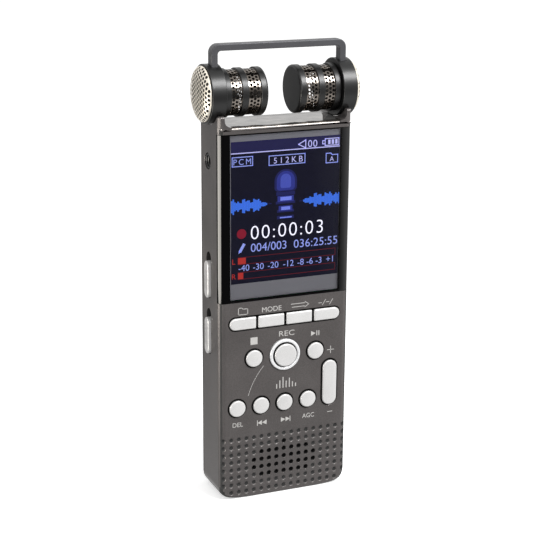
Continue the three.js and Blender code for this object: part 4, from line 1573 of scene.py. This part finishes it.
    def signs(self) -> None:
        """Prints the signs by the keys."""
        row = self.row_box()
        stop, play = Box.of("stop_button").centre, Box.of("play_button").centre
        record, rocker = Box.of("record_button").centre, self.rocker_box()
        above = row.high.z + 0.9
        thin = 0.2
        x = row.low.x + 4.4
        tab = [(0, 0), (0, 2.1), (1.1, 2.1), (1.5, 1.7), (3.0, 1.7), (3.0, 0)]
        self.sign("folder", ribbon([(x - 1.5 + a, above + b) for a, b in tab], thin, closed=True))
        self.word("mode", "MODE", (-4.4, above), 1.6, 1.05)
        x = 4.9
        arrow = [(-2.9, 1.45), (1.6, 1.45), (1.6, 1.85), (2.9, 0.95), (1.6, 0.1), (1.6, 0.45), (-2.6, 0.45)]
        self.sign("repeat", ribbon([(x + a, above + b) for a, b in arrow], thin))
        x = 13.7
        dashes = (((-2.6, 0.8), (-1.6, 0.8)), ((-1.3, 0.1), (-0.3, 1.7)))
        dashes += (((-0.1, 0.9), (0.9, 0.9)), ((1.1, 0.1), (2.1, 1.7)))
        dashes = [[(x + a, above + b) for a, b in dash] for dash in dashes]
        self.sign("repeat_part", [o for dash in dashes for o in ribbon(dash, 0.17)])
        size, up = 1.15, 5.55
        square = [(-size, -size), (size, -size), (size, size), (-size, size)]
        self.sign("stop", [[(stop.x + a, stop.z + up + b) for a, b in square]])
        self.word("rec", "REC", (record.x + 0.6, record.z + 5.95), 1.75, 1.25)
        x, z = play.x - 0.15, play.z + 5.6
        wedge = [(x - 1.3, z - 0.8), (x + 0.2, z), (x - 1.3, z + 0.8)]
        bar = [(0, -0.8), (0.28, -0.8), (0.28, 0.8), (0, 0.8)]
        bars = [[(x + a + b, z + c) for b, c in bar] for a in (0.5, 1.2)]
        self.sign("play_pause", [wedge, *bars])
        x, z = rocker.centre.x + 0.35, rocker.high.z + 3.15
        plus = [[(x - 1.1, z), (x + 1.1, z)], [(x, z - 1.1), (x, z + 1.1)]]
        self.sign("plus", [o for stroke in plus for o in ribbon(stroke, thin)])
        x, z = rocker.centre.x + 0.45, rocker.low.z - 2.5
        self.sign("minus", ribbon([(x - 0.8, z), (x + 0.8, z)], thin))
        self.word("del", "DEL", (Box.of("delete_button").centre.x + 0.2, 24.1), 1.5, 1.0)
        self.word("gain", "AGC", (Box.of("gain_button").centre.x + 0.3, 23.9), 1.5, 0.95)
        for name, node, way in (("back", "back_button", -1), ("forward", "forward_button", 1)):
            centre = Box.of(node).centre
            x, z = centre.x + 0.4, 24.45
            points = ((-1.5, 0.0), (0.05, 1.5))
            wedges = [[(x + way * a, z - 0.75), (x + way * b, z), (x + way * a, z + 0.75)] for a, b in points]
            bar = [(x + way * 1.55, z - 0.75), (x + way * 1.55, z + 0.75)]
            self.sign(name, wedges + ribbon(bar, 0.25))
        self.accents()

    def accents(self) -> None:
        """Prints the thin curved line and the plain level bars under the record key."""
        stop, back = Box.of("stop_button"), Box.of("back_button")
        start = Vector((stop.high.x - 0.4, stop.low.z + 0.6))
        end = Vector((back.low.x - 0.7, back.high.z + 0.3))
        bend = Vector(((start.x + end.x) / 2 - 0.9, (start.y + end.y) / 2 + 0.6))
        curve = []
        for step in range(13):
            t = step / 12
            curve.append(tuple(start * (1 - t) ** 2 + bend * 2 * t * (1 - t) + end * t * t))
        self.sign("curve", ribbon(curve, 0.16))
        centre = Box.of("record_button").centre
        z = centre.z - 10.7
        bars = []
        for i, height in enumerate((1.2, 2.2, 3.2, 1.9, 2.7, 1.4, 0.8)):
            x = centre.x - 2.6 + i * 1.05
            bars += ribbon([(x, z), (x, z + height)], 0.32)
        self.sign("level_bars", bars)

    def build(self) -> None:
        """Makes the keys and prints the signs."""
        self.soft_keys()
        for node in self.round_nodes:
            self.round_key(node, node.replace("_button", "_key_cap"))
        self.round_key("record_button", "record_key_cap", dish=0.1, slack=0.15)
        self.bezel()
        self.rocker()
        dress("keypad_mat", RUBBER)
        self.signs()


@dataclass
class SideControls:
    """The slide switches and the headphone socket on the left, and the USB socket on the right."""

    gap: float = 0.3
    slot_length: float = 14.6
    slot_width: float = 3.9
    knob_width: float = 3.45
    knob_length: float = 11.5
    knob_root: float = 2.2
    knob_edge: float = 0.4
    jack_mouth: float = 2.52
    jack_nose: float = 2.35
    jack_bore: float = 1.8
    switches: tuple[str, ...] = ("upper", "lower")

    def slot(self, name: str) -> tuple[float, float, float]:
        """Gives the ends of a switch's slot and its place along Y."""
        knob = Box.of(f"{name}_slide_knob")
        low = knob.low.z - self.gap
        return low, low + self.slot_length, knob.centre.y

    def usb_outline(self, margin: float) -> list[Point]:
        """Outlines the mouth of the USB socket, grown by a margin."""
        box = Box.of("usb_socket")
        low = (box.low.y - margin, box.low.z - margin)
        high = (box.high.y + margin, box.high.z + margin)
        return rounded(low, high, (1.0, 0.4, 0.4, 1.0))

    def knob(self, name: str) -> None:
        """Makes a slide switch's knob, with three slanted ribs.

        Args:
            name: which switch it is.
        """
        box = Box.of(f"{name}_slide_knob")
        y, z = box.centre.y, box.centre.z
        face = box.low.x + 0.2
        rings = []
        for inset, behind in fillet(6):
            less = 2 * self.knob_edge * inset
            outline = stadium((y, z), self.knob_width - less, self.knob_length - less, 10)
            rings.append((outline, face + self.knob_edge * behind))
        rings.append((rings[-1][0], face + self.knob_root))
        solid = Solid.stacked(rings, Plane.SIDE)
        for rise in (-2.1, 0, 2.1):
            for shift in (-0.42, 0.42):
                path = [(y - 1.0, z + rise + shift - 0.4), (y + 1.0, z + rise + shift + 0.4)]
                solid.cut(*[Solid.prism(o, face - OVER, face + 0.4, Plane.SIDE) for o in ribbon(path, 0.3)])
        tang = Solid.block((face + 1.5, y - 0.8, z - 2.5), (box.high.x, y + 0.8, z + 2.5))
        node = f"{name}_slide_knob"
        finished(f"{name}_knob", solid.join(tang), [KEY_SILVER], Place(f"{name}_slide", "keys", (node,)), 40)
        dress(f"{name}_slide_carrier", BLACK_PLASTIC)
        dress(f"{name}_switch_housing", STEEL)

    def marks(self) -> None:
        """Prints a small white mark at the front of each slot's top."""
        shell = Box.of("front_shell").low.x
        for name in self.switches:
            _, top, y = self.slot(name)
            spot = (y - self.slot_width / 2 - 0.9, top - 2.6)
            wedge = ring_path(spot, 0.45, 90, 360, 3)[:-1]
            solid = Solid.prism(wedge, shell - 0.03, shell + 0.1, Plane.SIDE)
            finished(f"sign_{name}_switch", solid, [LEGEND_INK], Place("body", "shell"))

    def jack(self) -> None:
        """Makes the headphone socket: a collar with a rounded lip and a metal contact inside."""
        box = Box.of("headphone_jack")
        mouth = box.low.x
        lip = (self.jack_nose - self.jack_bore) / 2
        middle = self.jack_bore + lip
        depth = box.size.x
        profile = [(0, depth - 1), (self.jack_bore, depth - 1), (self.jack_bore, lip + 0.02)]
        for step in range(9):
            angle = math.pi * step / 8
            profile.append((middle - lip * math.cos(angle), lip * (1 - math.sin(angle))))
        profile += [(self.jack_nose, depth), (0, depth)]
        spot = Vector((mouth, box.centre.y, box.centre.z))
        solid = Solid.turned(profile, Vector((1, 0, 0)), spot)
        finished("headphone_socket", solid, [JACK_BLACK], Place("body", "black_plastic", ("headphone_jack",)))
        bore = self.jack_bore
        front, rear = 0.5, 2.6
        sleeve = [(bore - 0.02, front), (bore - 0.02, rear), (bore - 0.35, rear), (bore - 0.35, front + 0.2)]
        sleeve.append(sleeve[0])
        ring = Solid.turned(sleeve, Vector((1, 0, 0)), spot)
        finished("headphone_contact", ring, [GUNMETAL], Place("body", "steel"))

    def build(self) -> None:
        """Makes the switches and both sockets."""
        for name in self.switches:
            self.knob(name)
        self.marks()
        self.jack()
        dress("usb_socket", STEEL, 0.05)


@dataclass
class Microphone:
    """One microphone: a collar with a domed grille outside, and a vented barrel inside."""

    name: str
    side: int
    ring_bevel: float = 0.18
    fuller: float = 0.2  # how much the barrel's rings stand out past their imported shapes
    band_depth: float = 0.45  # of the sleeve under the rings
    vent_pitch: float = 1.2
    vent_radius: float = 0.45
    grille_pitch: float = 1.3
    grille_radius: float = 0.5
    grille_wall: float = 0.1
    foam_gap: float = 0.3
    dome_flank: float = 0.6  # 1 for an ellipse, less for a fuller dome
    socket_fit: float = 0.15

    def __post_init__(self) -> None:
        """Reads the axis from the collar."""
        centre = Box.of(f"{self.name}_collar").centre
        self.axis = Vector((self.side, 0, 0))
        self.origin = Vector((0, centre.y, centre.z))

    def span(self, node: str) -> tuple[float, float]:
        """Gives a node's near and far distance from the middle of the recorder."""
        box = Box.of(f"{self.name}_{node}")
        return tuple(sorted((abs(box.low.x), abs(box.high.x))))

    def radius(self, node: str) -> float:
        """Gives a round node's radius."""
        return Box.of(f"{self.name}_{node}").size.z / 2

    def bevelled(self, outer: float, bore: float, near: float, far: float) -> list[Point]:
        """Draws the profile of a ring with rounded outer edges.

        Args:
            outer: its outer radius.
            bore: its inner radius.
            near: its near end.
            far: its far end.

        Returns:
            The closed profile.
        """
        turn = self.ring_bevel
        profile = [(bore, near)]
        for middle, start in (((near + turn), 180), ((far - turn), 90)):
            for step in range(5):
                angle = math.radians(start - 90 * step / 4)
                profile.append((outer - turn + turn * math.sin(angle), middle + turn * math.cos(angle)))
        return [*profile, (bore, far), (bore, near)]

    def turn(self, profile: list[Point]) -> Solid:
        """Turns a profile round the microphone's axis."""
        return Solid.turned(profile, self.axis, self.origin, 2 * FINE)

    def piece(self, part: str, node: str, solid: Solid, finish: Finish, slot: str) -> None:
        """Finishes one of the microphone's pieces."""
        place = Place("body", slot, (f"{self.name}_{node}",))
        finished(f"{self.name}_mic_{part}", solid, [finish], place)

    def barrel(self) -> None:
        """Makes the barrel's cap and its two rings."""
        near, far = self.span("barrel_cap")
        outer = self.radius("barrel_cap") + self.fuller
        bore, face, turn = outer - self.band_depth, near + 0.9, 0.7
        profile = [(0, near), (outer - turn - 0.15, near)]
        profile += [(outer - turn * inset, near + turn * behind) for inset, behind in fillet(8)]
        profile += [(outer, far - 0.1), (outer - 0.1, far), (bore, far), (bore, face), (0, face)]
        self.piece("cap", "barrel_cap", self.turn(profile), GUNMETAL, "gunmetal")
        for part, node in (("ring", "barrel_ring"), ("base", "barrel_base")):
            solid = self.turn(self.bevelled(outer, bore, *self.span(node)))
            self.piece(part, node, solid, GUNMETAL, "gunmetal")

    def sleeve(self) -> None:
        """Makes the bright sleeve with its rows of vents."""
        near, far = self.span("vent_sleeve")
        outer = self.radius("barrel_cap") + self.fuller - self.band_depth
        inner = outer - 0.35
        tube = self.turn([(inner, near), (outer, near), (outer, far), (inner, far), (inner, near)])
        around = round(2 * math.pi * outer / self.vent_pitch)
        step = 2 * math.pi / around
        vents = []
        rows = []
        for gap_near, gap_far in self.vent_bands():
            middle = (gap_near + gap_far) / 2
            rows += [middle - self.vent_pitch * 0.87, middle, middle + self.vent_pitch * 0.87]
        for number, along in enumerate(rows):
            for i in range(around):
                angle = (i + 0.5 * (number % 2)) * step
                out = Vector((0, math.cos(angle), math.sin(angle)))
                reach = [(0, inner - 0.3), (self.vent_radius, inner - 0.3), (self.vent_radius, outer + 0.3)]
                spot = self.origin + self.axis * along
                vents.append(Solid.turned([*reach, (0, outer + 0.3)], out, spot, 10))
        self.piece("sleeve", "vent_sleeve", tube.cut(Solid.merged(vents)), SLEEVE_METAL, "mesh")

    def vent_bands(self) -> list[tuple[float, float]]:
        """Gives the two stretches of the sleeve that show between the barrel's rings."""
        cap, ring, base = (self.span(node) for node in ("barrel_cap", "barrel_ring", "barrel_base"))
        return [(cap[1], ring[0]), (ring[1], base[0])]

    def collar(self) -> None:
        """Makes the collar, with the socket for the guard bow's leg."""
        near, far = self.span("collar")
        outer = self.radius("collar")
        solid = self.turn(self.bevelled(outer, outer - 3.1, near, far))
        bow = Box.of("guard_bow")
        fit = self.socket_fit
        leg = sorted(self.side * x for x in (bow.high.x - GuardBow.bar - fit, bow.high.x + fit))
        low = (leg[0], bow.low.y - fit, bow.low.z - 0.2)
        high = (leg[1], bow.high.y + fit, bow.high.z)
        self.piece("collar", "collar", solid.cut(Solid.block(low, high)), GUNMETAL, "gunmetal")

    def grille(self) -> None:
        """Makes the domed grille, with a hexagonal pattern of holes wrapped over it."""
        near, far = self.span("grille")
        rim = self.radius("grille")
        rise = far - near
        steps = 14  # from the rim to the middle

        def dome(radius: float, height: float) -> list[Point]:
            """Draws half of the dome's section, from its rim to its middle."""
            angles = (math.pi / 2 * step / steps for step in range(steps))
            curve = [(radius * math.cos(a) ** self.dome_flank, near + height * math.sin(a)) for a in angles]
            return [*curve, (0, near + height)]

        inside = dome(rim - self.grille_wall, rise - self.grille_wall)
        outside = dome(rim, rise)
        shell = self.turn([*reversed(outside), *inside])
        skin = list(zip(outside[::-1], outside[-2::-1]))
        reach = sum(math.dist(*span) for span in skin) - self.grille_radius - 0.15

        def hole(y: float, z: float) -> Solid:
            """Makes the cutter of a hole, with its flat place wrapped onto the dome."""
            run, turn = math.hypot(y, z), math.atan2(z, y)
            for (r0, x0), (r1, x1) in skin:
                length = math.dist((r0, x0), (r1, x1))
                if run <= length:
                    break
                run -= length
            part = run / length
            out = Vector((0, math.cos(turn), math.sin(turn)))
            point = self.origin + self.axis * (x0 + part * (x1 - x0)) + out * (r0 + part * (r1 - r0))
            normal = (self.axis * (r1 - r0) - out * (x1 - x0)).normalized()
            return Solid.turned(profile, normal, point, 12)

        holes = []
        rows = int(reach / (self.grille_pitch * 0.87))
        depth = 2 * self.grille_wall
        profile = [(0, -depth), (self.grille_radius, -depth), (self.grille_radius, depth), (0, depth)]
        for row in range(-rows, rows + 1):
            y = row * self.grille_pitch * 0.866
            shift = 0.5 * (row % 2)
            for column in range(-rows - 1, rows + 2):
                z = (column + shift) * self.grille_pitch
                if math.hypot(y, z) < reach:
                    holes.append(hole(y, z))
        self.piece("grille", "grille", shell.cut(Solid.merged(holes)), GRILLE_METAL, "mesh")
        under = self.grille_wall + self.foam_gap
        foam = self.turn([*reversed(dome(rim - under, rise - under)), (0, near)])
        finished(f"{self.name}_mic_foam", foam, [GAUZE], Place("body", "gauze"))

    def build(self) -> None:
        """Makes the whole microphone."""
        self.barrel()
        self.sleeve()
        self.collar()
        self.grille()
        dress(f"{self.name}_capsule", BLACK_PLASTIC, 0.2)


@dataclass
class GuardBow:
    """The square bow that guards the microphones."""

    bar: float = 2.0
    outer_round: float = 2.6
    inner_round: float = 1.0
    bevel: float = 0.32

    def build(self) -> None:
        """Makes the bow as a bar of square section with softened edges."""
        box = Box.of("guard_bow")
        rings = [(self.bevel * inset, box.low.y + self.bevel * behind) for inset, behind in fillet(4)]
        rings += [(inset, box.low.y + box.high.y - level) for inset, level in reversed(rings)]
        stack = [(self.outline(box, inset), level) for inset, level in rings]
        solid = Solid.stacked(stack, Plane.FRONT)
        finished("bow", solid, [BOW_PAINT], Place("body", "bow", ("guard_bow",)), 45)

    def outline(self, box: Box, inset: float) -> list[Point]:
        """Draws the bow from the front, drawn in all round.

        Args:
            box: the bow's box.
            inset: how far it is drawn in.

        Returns:
            Its outline.
        """
        outer, top, foot = box.high.x - inset, box.high.z - inset, box.low.z + inset
        inner, under = box.high.x - self.bar + inset, box.high.z - self.bar + inset
        big, small = self.outer_round - inset, self.inner_round + inset
        right = [(inner, foot), (outer, foot)]
        right += ring_path((outer - big, top - big), big, 0, 90, 12)
        left = [(-x, z) for x, z in reversed(right)]
        back = ring_path((small - inner, under - small), small, 180, -90, 10)
        forth = [(-x, z) for x, z in reversed(back)]
        return right + left + back + forth


@dataclass
class Internals:
    """What the casing holds: the board, the battery, the loudspeaker and the screws."""

    recess: float = 0.6
    arm: float = 0.95
    arm_width: float = 0.36

    def rear_screw(self, node: str) -> None:
        """Makes a rear screw with a domed head and a cross recess.

        Args:
            node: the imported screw.
        """
        box = Box.of(node)
        radius = box.size.x / 2
        shank = 0.8
        profile = [(0, 0)]
        for step in range(1, 7):
            share = step / 6
            profile.append(((radius - 0.15) * share, 0.2 * share**2))
        profile += [(radius, 0.4), (radius, 1.0), (shank, 1.0), (shank, box.size.y), (0, box.size.y)]
        spot = Vector((box.centre.x, box.high.y, box.centre.z))
        solid = Solid.turned(profile, Vector((0, -1, 0)), spot)
        x, z, half = box.centre.x, box.centre.z, self.arm_width / 2
        top, floor = box.high.y + OVER, box.high.y - self.recess
        solid.cut(
            Solid.block((x - self.arm, floor, z - half), (x + self.arm, top, z + half)),
            Solid.block((x - half, floor, z - self.arm), (x + half, top, z + self.arm)),
        )
        finished(node.replace("rear_screw", "back_screw"), solid, [STEEL], Place("body", "screws", (node,)))

    def build(self) -> None:
        """Makes the screws and dresses the rest."""
        for i in range(1, 5):
            self.rear_screw(f"rear_screw_{i}")
            dress(f"board_screw_{i}", STEEL)
        dress("main_board", BOARD_MASK, 0.05)
        dress("battery", BATTERY_WRAP, 0.3)
        dress("speaker_basket", STEEL)
        dress("speaker_cone", CONE_PAPER, 0)
        dress("speaker_gauze", GAUZE, 0)


# ---------- the studio ----------


@dataclass(frozen=True)
class SoftBox:
    """A rectangular lamp, aimed at a point of the object."""

    name: str
    spot: tuple[float, float, float]
    size: tuple[float, float]
    power: float
    aim: tuple[float, float, float] = (0, 0, 70)
    tone: Colour = (1, 1, 1)
    matt: bool = True  # whether it lights matt surfaces, and doesn't only mirror in glossy ones

    def build(self) -> None:
        """Hangs the lamp."""
        lamp = bpy.data.lights.new(self.name, "AREA")
        lamp.shape = "RECTANGLE"
        lamp.size, lamp.size_y = (side * MM for side in self.size)
        lamp.energy = self.power
        lamp.color = self.tone
        holder = bpy.data.objects.new(self.name, lamp)
        holder.location = Vector(self.spot) * MM
        holder.rotation_mode = "QUATERNION"
        holder.rotation_quaternion = (Vector(self.aim) - Vector(self.spot)).to_track_quat("-Z", "Y")
        holder.visible_diffuse = self.matt
        bpy.context.scene.collection.objects.link(holder)


@dataclass
class Studio:
    """A pale floor, a pale surround, soft lamps and the camera."""

    azimuth: float = -22.508
    elevation: float = 16.176
    roll: float = 0.37
    distance: float = 438.4
    lens: float = 95.65
    sensor: float = 36.0
    target: tuple[float, float, float] = (-1.71, -0.65, 70.55)
    floor_half: float = 3000.0
    fill: float = 0.6  # the surround's light on matt surfaces

    def camera(self) -> None:
        """Sets the camera on the object."""
        a, e = math.radians(self.azimuth), math.radians(self.elevation)
        back = Vector((math.sin(a) * math.cos(e), -math.cos(a) * math.cos(e), math.sin(e)))
        eye = bpy.data.cameras.new("camera")
        eye.lens, eye.sensor_width = self.lens, self.sensor
        eye.clip_start, eye.clip_end = 0.01, 20
        holder = bpy.data.objects.new("camera", eye)
        holder.location = (Vector(self.target) + back * self.distance) * MM
        holder.rotation_mode = "QUATERNION"
        tilt = Quaternion((0, 0, 1), math.radians(self.roll))
        holder.rotation_quaternion = (-back).to_track_quat("-Z", "Y") @ tilt
        bpy.context.scene.collection.objects.link(holder)
        bpy.context.scene.camera = holder

    def floor(self) -> None:
        """Lays the pale floor just under the object."""
        half = self.floor_half * MM
        mesh = bpy.data.meshes.new("floor")
        corners = [(-half, -half, 0), (half, -half, 0), (half, half, 0), (-half, half, 0)]
        mesh.from_pydata(corners, [], [(0, 1, 2, 3)])
        paper = Finish("floor_paper", linear(250, 250, 250), 0.9, grain=900, mottle=0.004, glow=0.5)
        mesh.materials.append(paper.material())
        floor = bpy.data.objects.new("floor", mesh)
        bpy.context.scene.collection.objects.link(floor)
        floor.visible_glossy = False
        floor.visible_diffuse = False

    def surround(self) -> None:
        """Lights the room: pale to look at, and in reflections dark in front and bright above."""
        world = bpy.data.worlds.new("studio")
        bpy.context.scene.world = world
        world.use_nodes = True
        tree = world.node_tree
        tree.nodes.clear()
        make, link = tree.nodes.new, tree.links.new
        place = make("ShaderNodeTexCoord")
        parts = make("ShaderNodeSeparateXYZ")
        link(place.outputs["Generated"], parts.inputs["Vector"])

        def edge(axis: str, low: float, high: float) -> bpy.types.NodeSocket:
            """Rises from 0 to 1 as the direction turns from low to high along an axis."""
            node = make("ShaderNodeMapRange")
            for socket, value in zip(node.inputs[1:5], (low, high, 0.0, 1.0)):
                socket.default_value = value
            link(parts.outputs[axis], node.inputs["Value"])
            return node.outputs["Result"]

        def joined(operation: str, *terms: bpy.types.NodeSocket) -> bpy.types.NodeSocket:
            """Works one term of the pattern out from two others."""
            node = make("ShaderNodeMath")
            node.operation = operation
            for socket, term in zip(node.inputs, terms):
                link(term, socket)
            return node.outputs["Value"]

        ramp = make("ShaderNodeValToRGB")
        stops = ((0.04, 0.1), (0.1, 1.2), (0.25, 1.2), (0.33, 0.05), (0.52, 0.05), (0.62, 0.35), (0.8, 0.9))
        elements = ramp.color_ramp.elements
        while len(elements) < len(stops):
            elements.new(0.5)
        for element, (spot, value) in zip(elements, stops):
            element.position = spot
            element.color = (value, value, value, 1)
        link(edge("Z", -1, 1), ramp.inputs["Fac"])
        upper = joined("MAXIMUM", edge("Z", -0.12, 0.12), edge("X", -0.34, -0.16))
        rear = joined("MULTIPLY", edge("Y", -0.1, 0.35), upper)
        right = joined("MULTIPLY", edge("X", 0.4, 0.47), edge("Y", 0.2, -0.2))
        walls = joined("MAXIMUM", joined("MAXIMUM", rear, right), edge("X", -0.74, -0.86))
        mirrored = make("ShaderNodeMix")
        mirrored.data_type = "RGBA"
        link(walls, mirrored.inputs["Factor"])
        link(ramp.outputs["Color"], mirrored.inputs["A"])
        mirrored.inputs["B"].default_value = (1, 1, 1, 1)
        ray = make("ShaderNodeLightPath")
        seen = make("ShaderNodeMix")
        seen.data_type = "RGBA"
        link(ray.outputs["Is Camera Ray"], seen.inputs["Factor"])
        seen.inputs["A"].default_value = (*(self.fill,) * 3, 1)
        seen.inputs["B"].default_value = (1, 1, 1, 1)
        shown = make("ShaderNodeMix")
        shown.data_type = "RGBA"
        link(ray.outputs["Is Glossy Ray"], shown.inputs["Factor"])
        link(seen.outputs["Result"], shown.inputs["A"])
        link(mirrored.outputs["Result"], shown.inputs["B"])
        light = make("ShaderNodeBackground")
        link(shown.outputs["Result"], light.inputs["Color"])
        light.inputs["Strength"].default_value = 1.0
        output = make("ShaderNodeOutputWorld")
        link(light.outputs["Background"], output.inputs["Surface"])

    def build(self) -> None:
        """Sets up the floor, the surround, the lamps and the camera."""
        bpy.context.scene.view_settings.view_transform = "Standard"
        self.camera()
        self.floor()
        self.surround()
        ivory = (1.0, 0.95, 0.87)
        lamps = (
            SoftBox("key_lamp", (222, -372, 520), (240, 240), 3.8),
            SoftBox("fill_lamp", (-200, -480, 260), (300, 300), 0.7),
            SoftBox("edge_lamp", (-211, 12, 42), (250, 84), 0.6, (0, 12, 42), ivory, False),
        )
        for lamp in lamps:
            lamp.build()


def main() -> None:
    """Builds the studio and the recorder, and logs each part as it is done."""
    logging.basicConfig(level=logging.INFO, format="%(name)s: %(message)s")
    Studio().build()
    parts = (
        Casing(),
        Window(),
        Display(),
        Keypad(),
        SideControls(),
        Microphone("left", -1),
        Microphone("right", 1),
        GuardBow(),
        Internals(),
    )
    for part in parts:
        part.build()
        LOG.info("%s done", type(part).__name__)


if __name__ == "__main__":
    main()
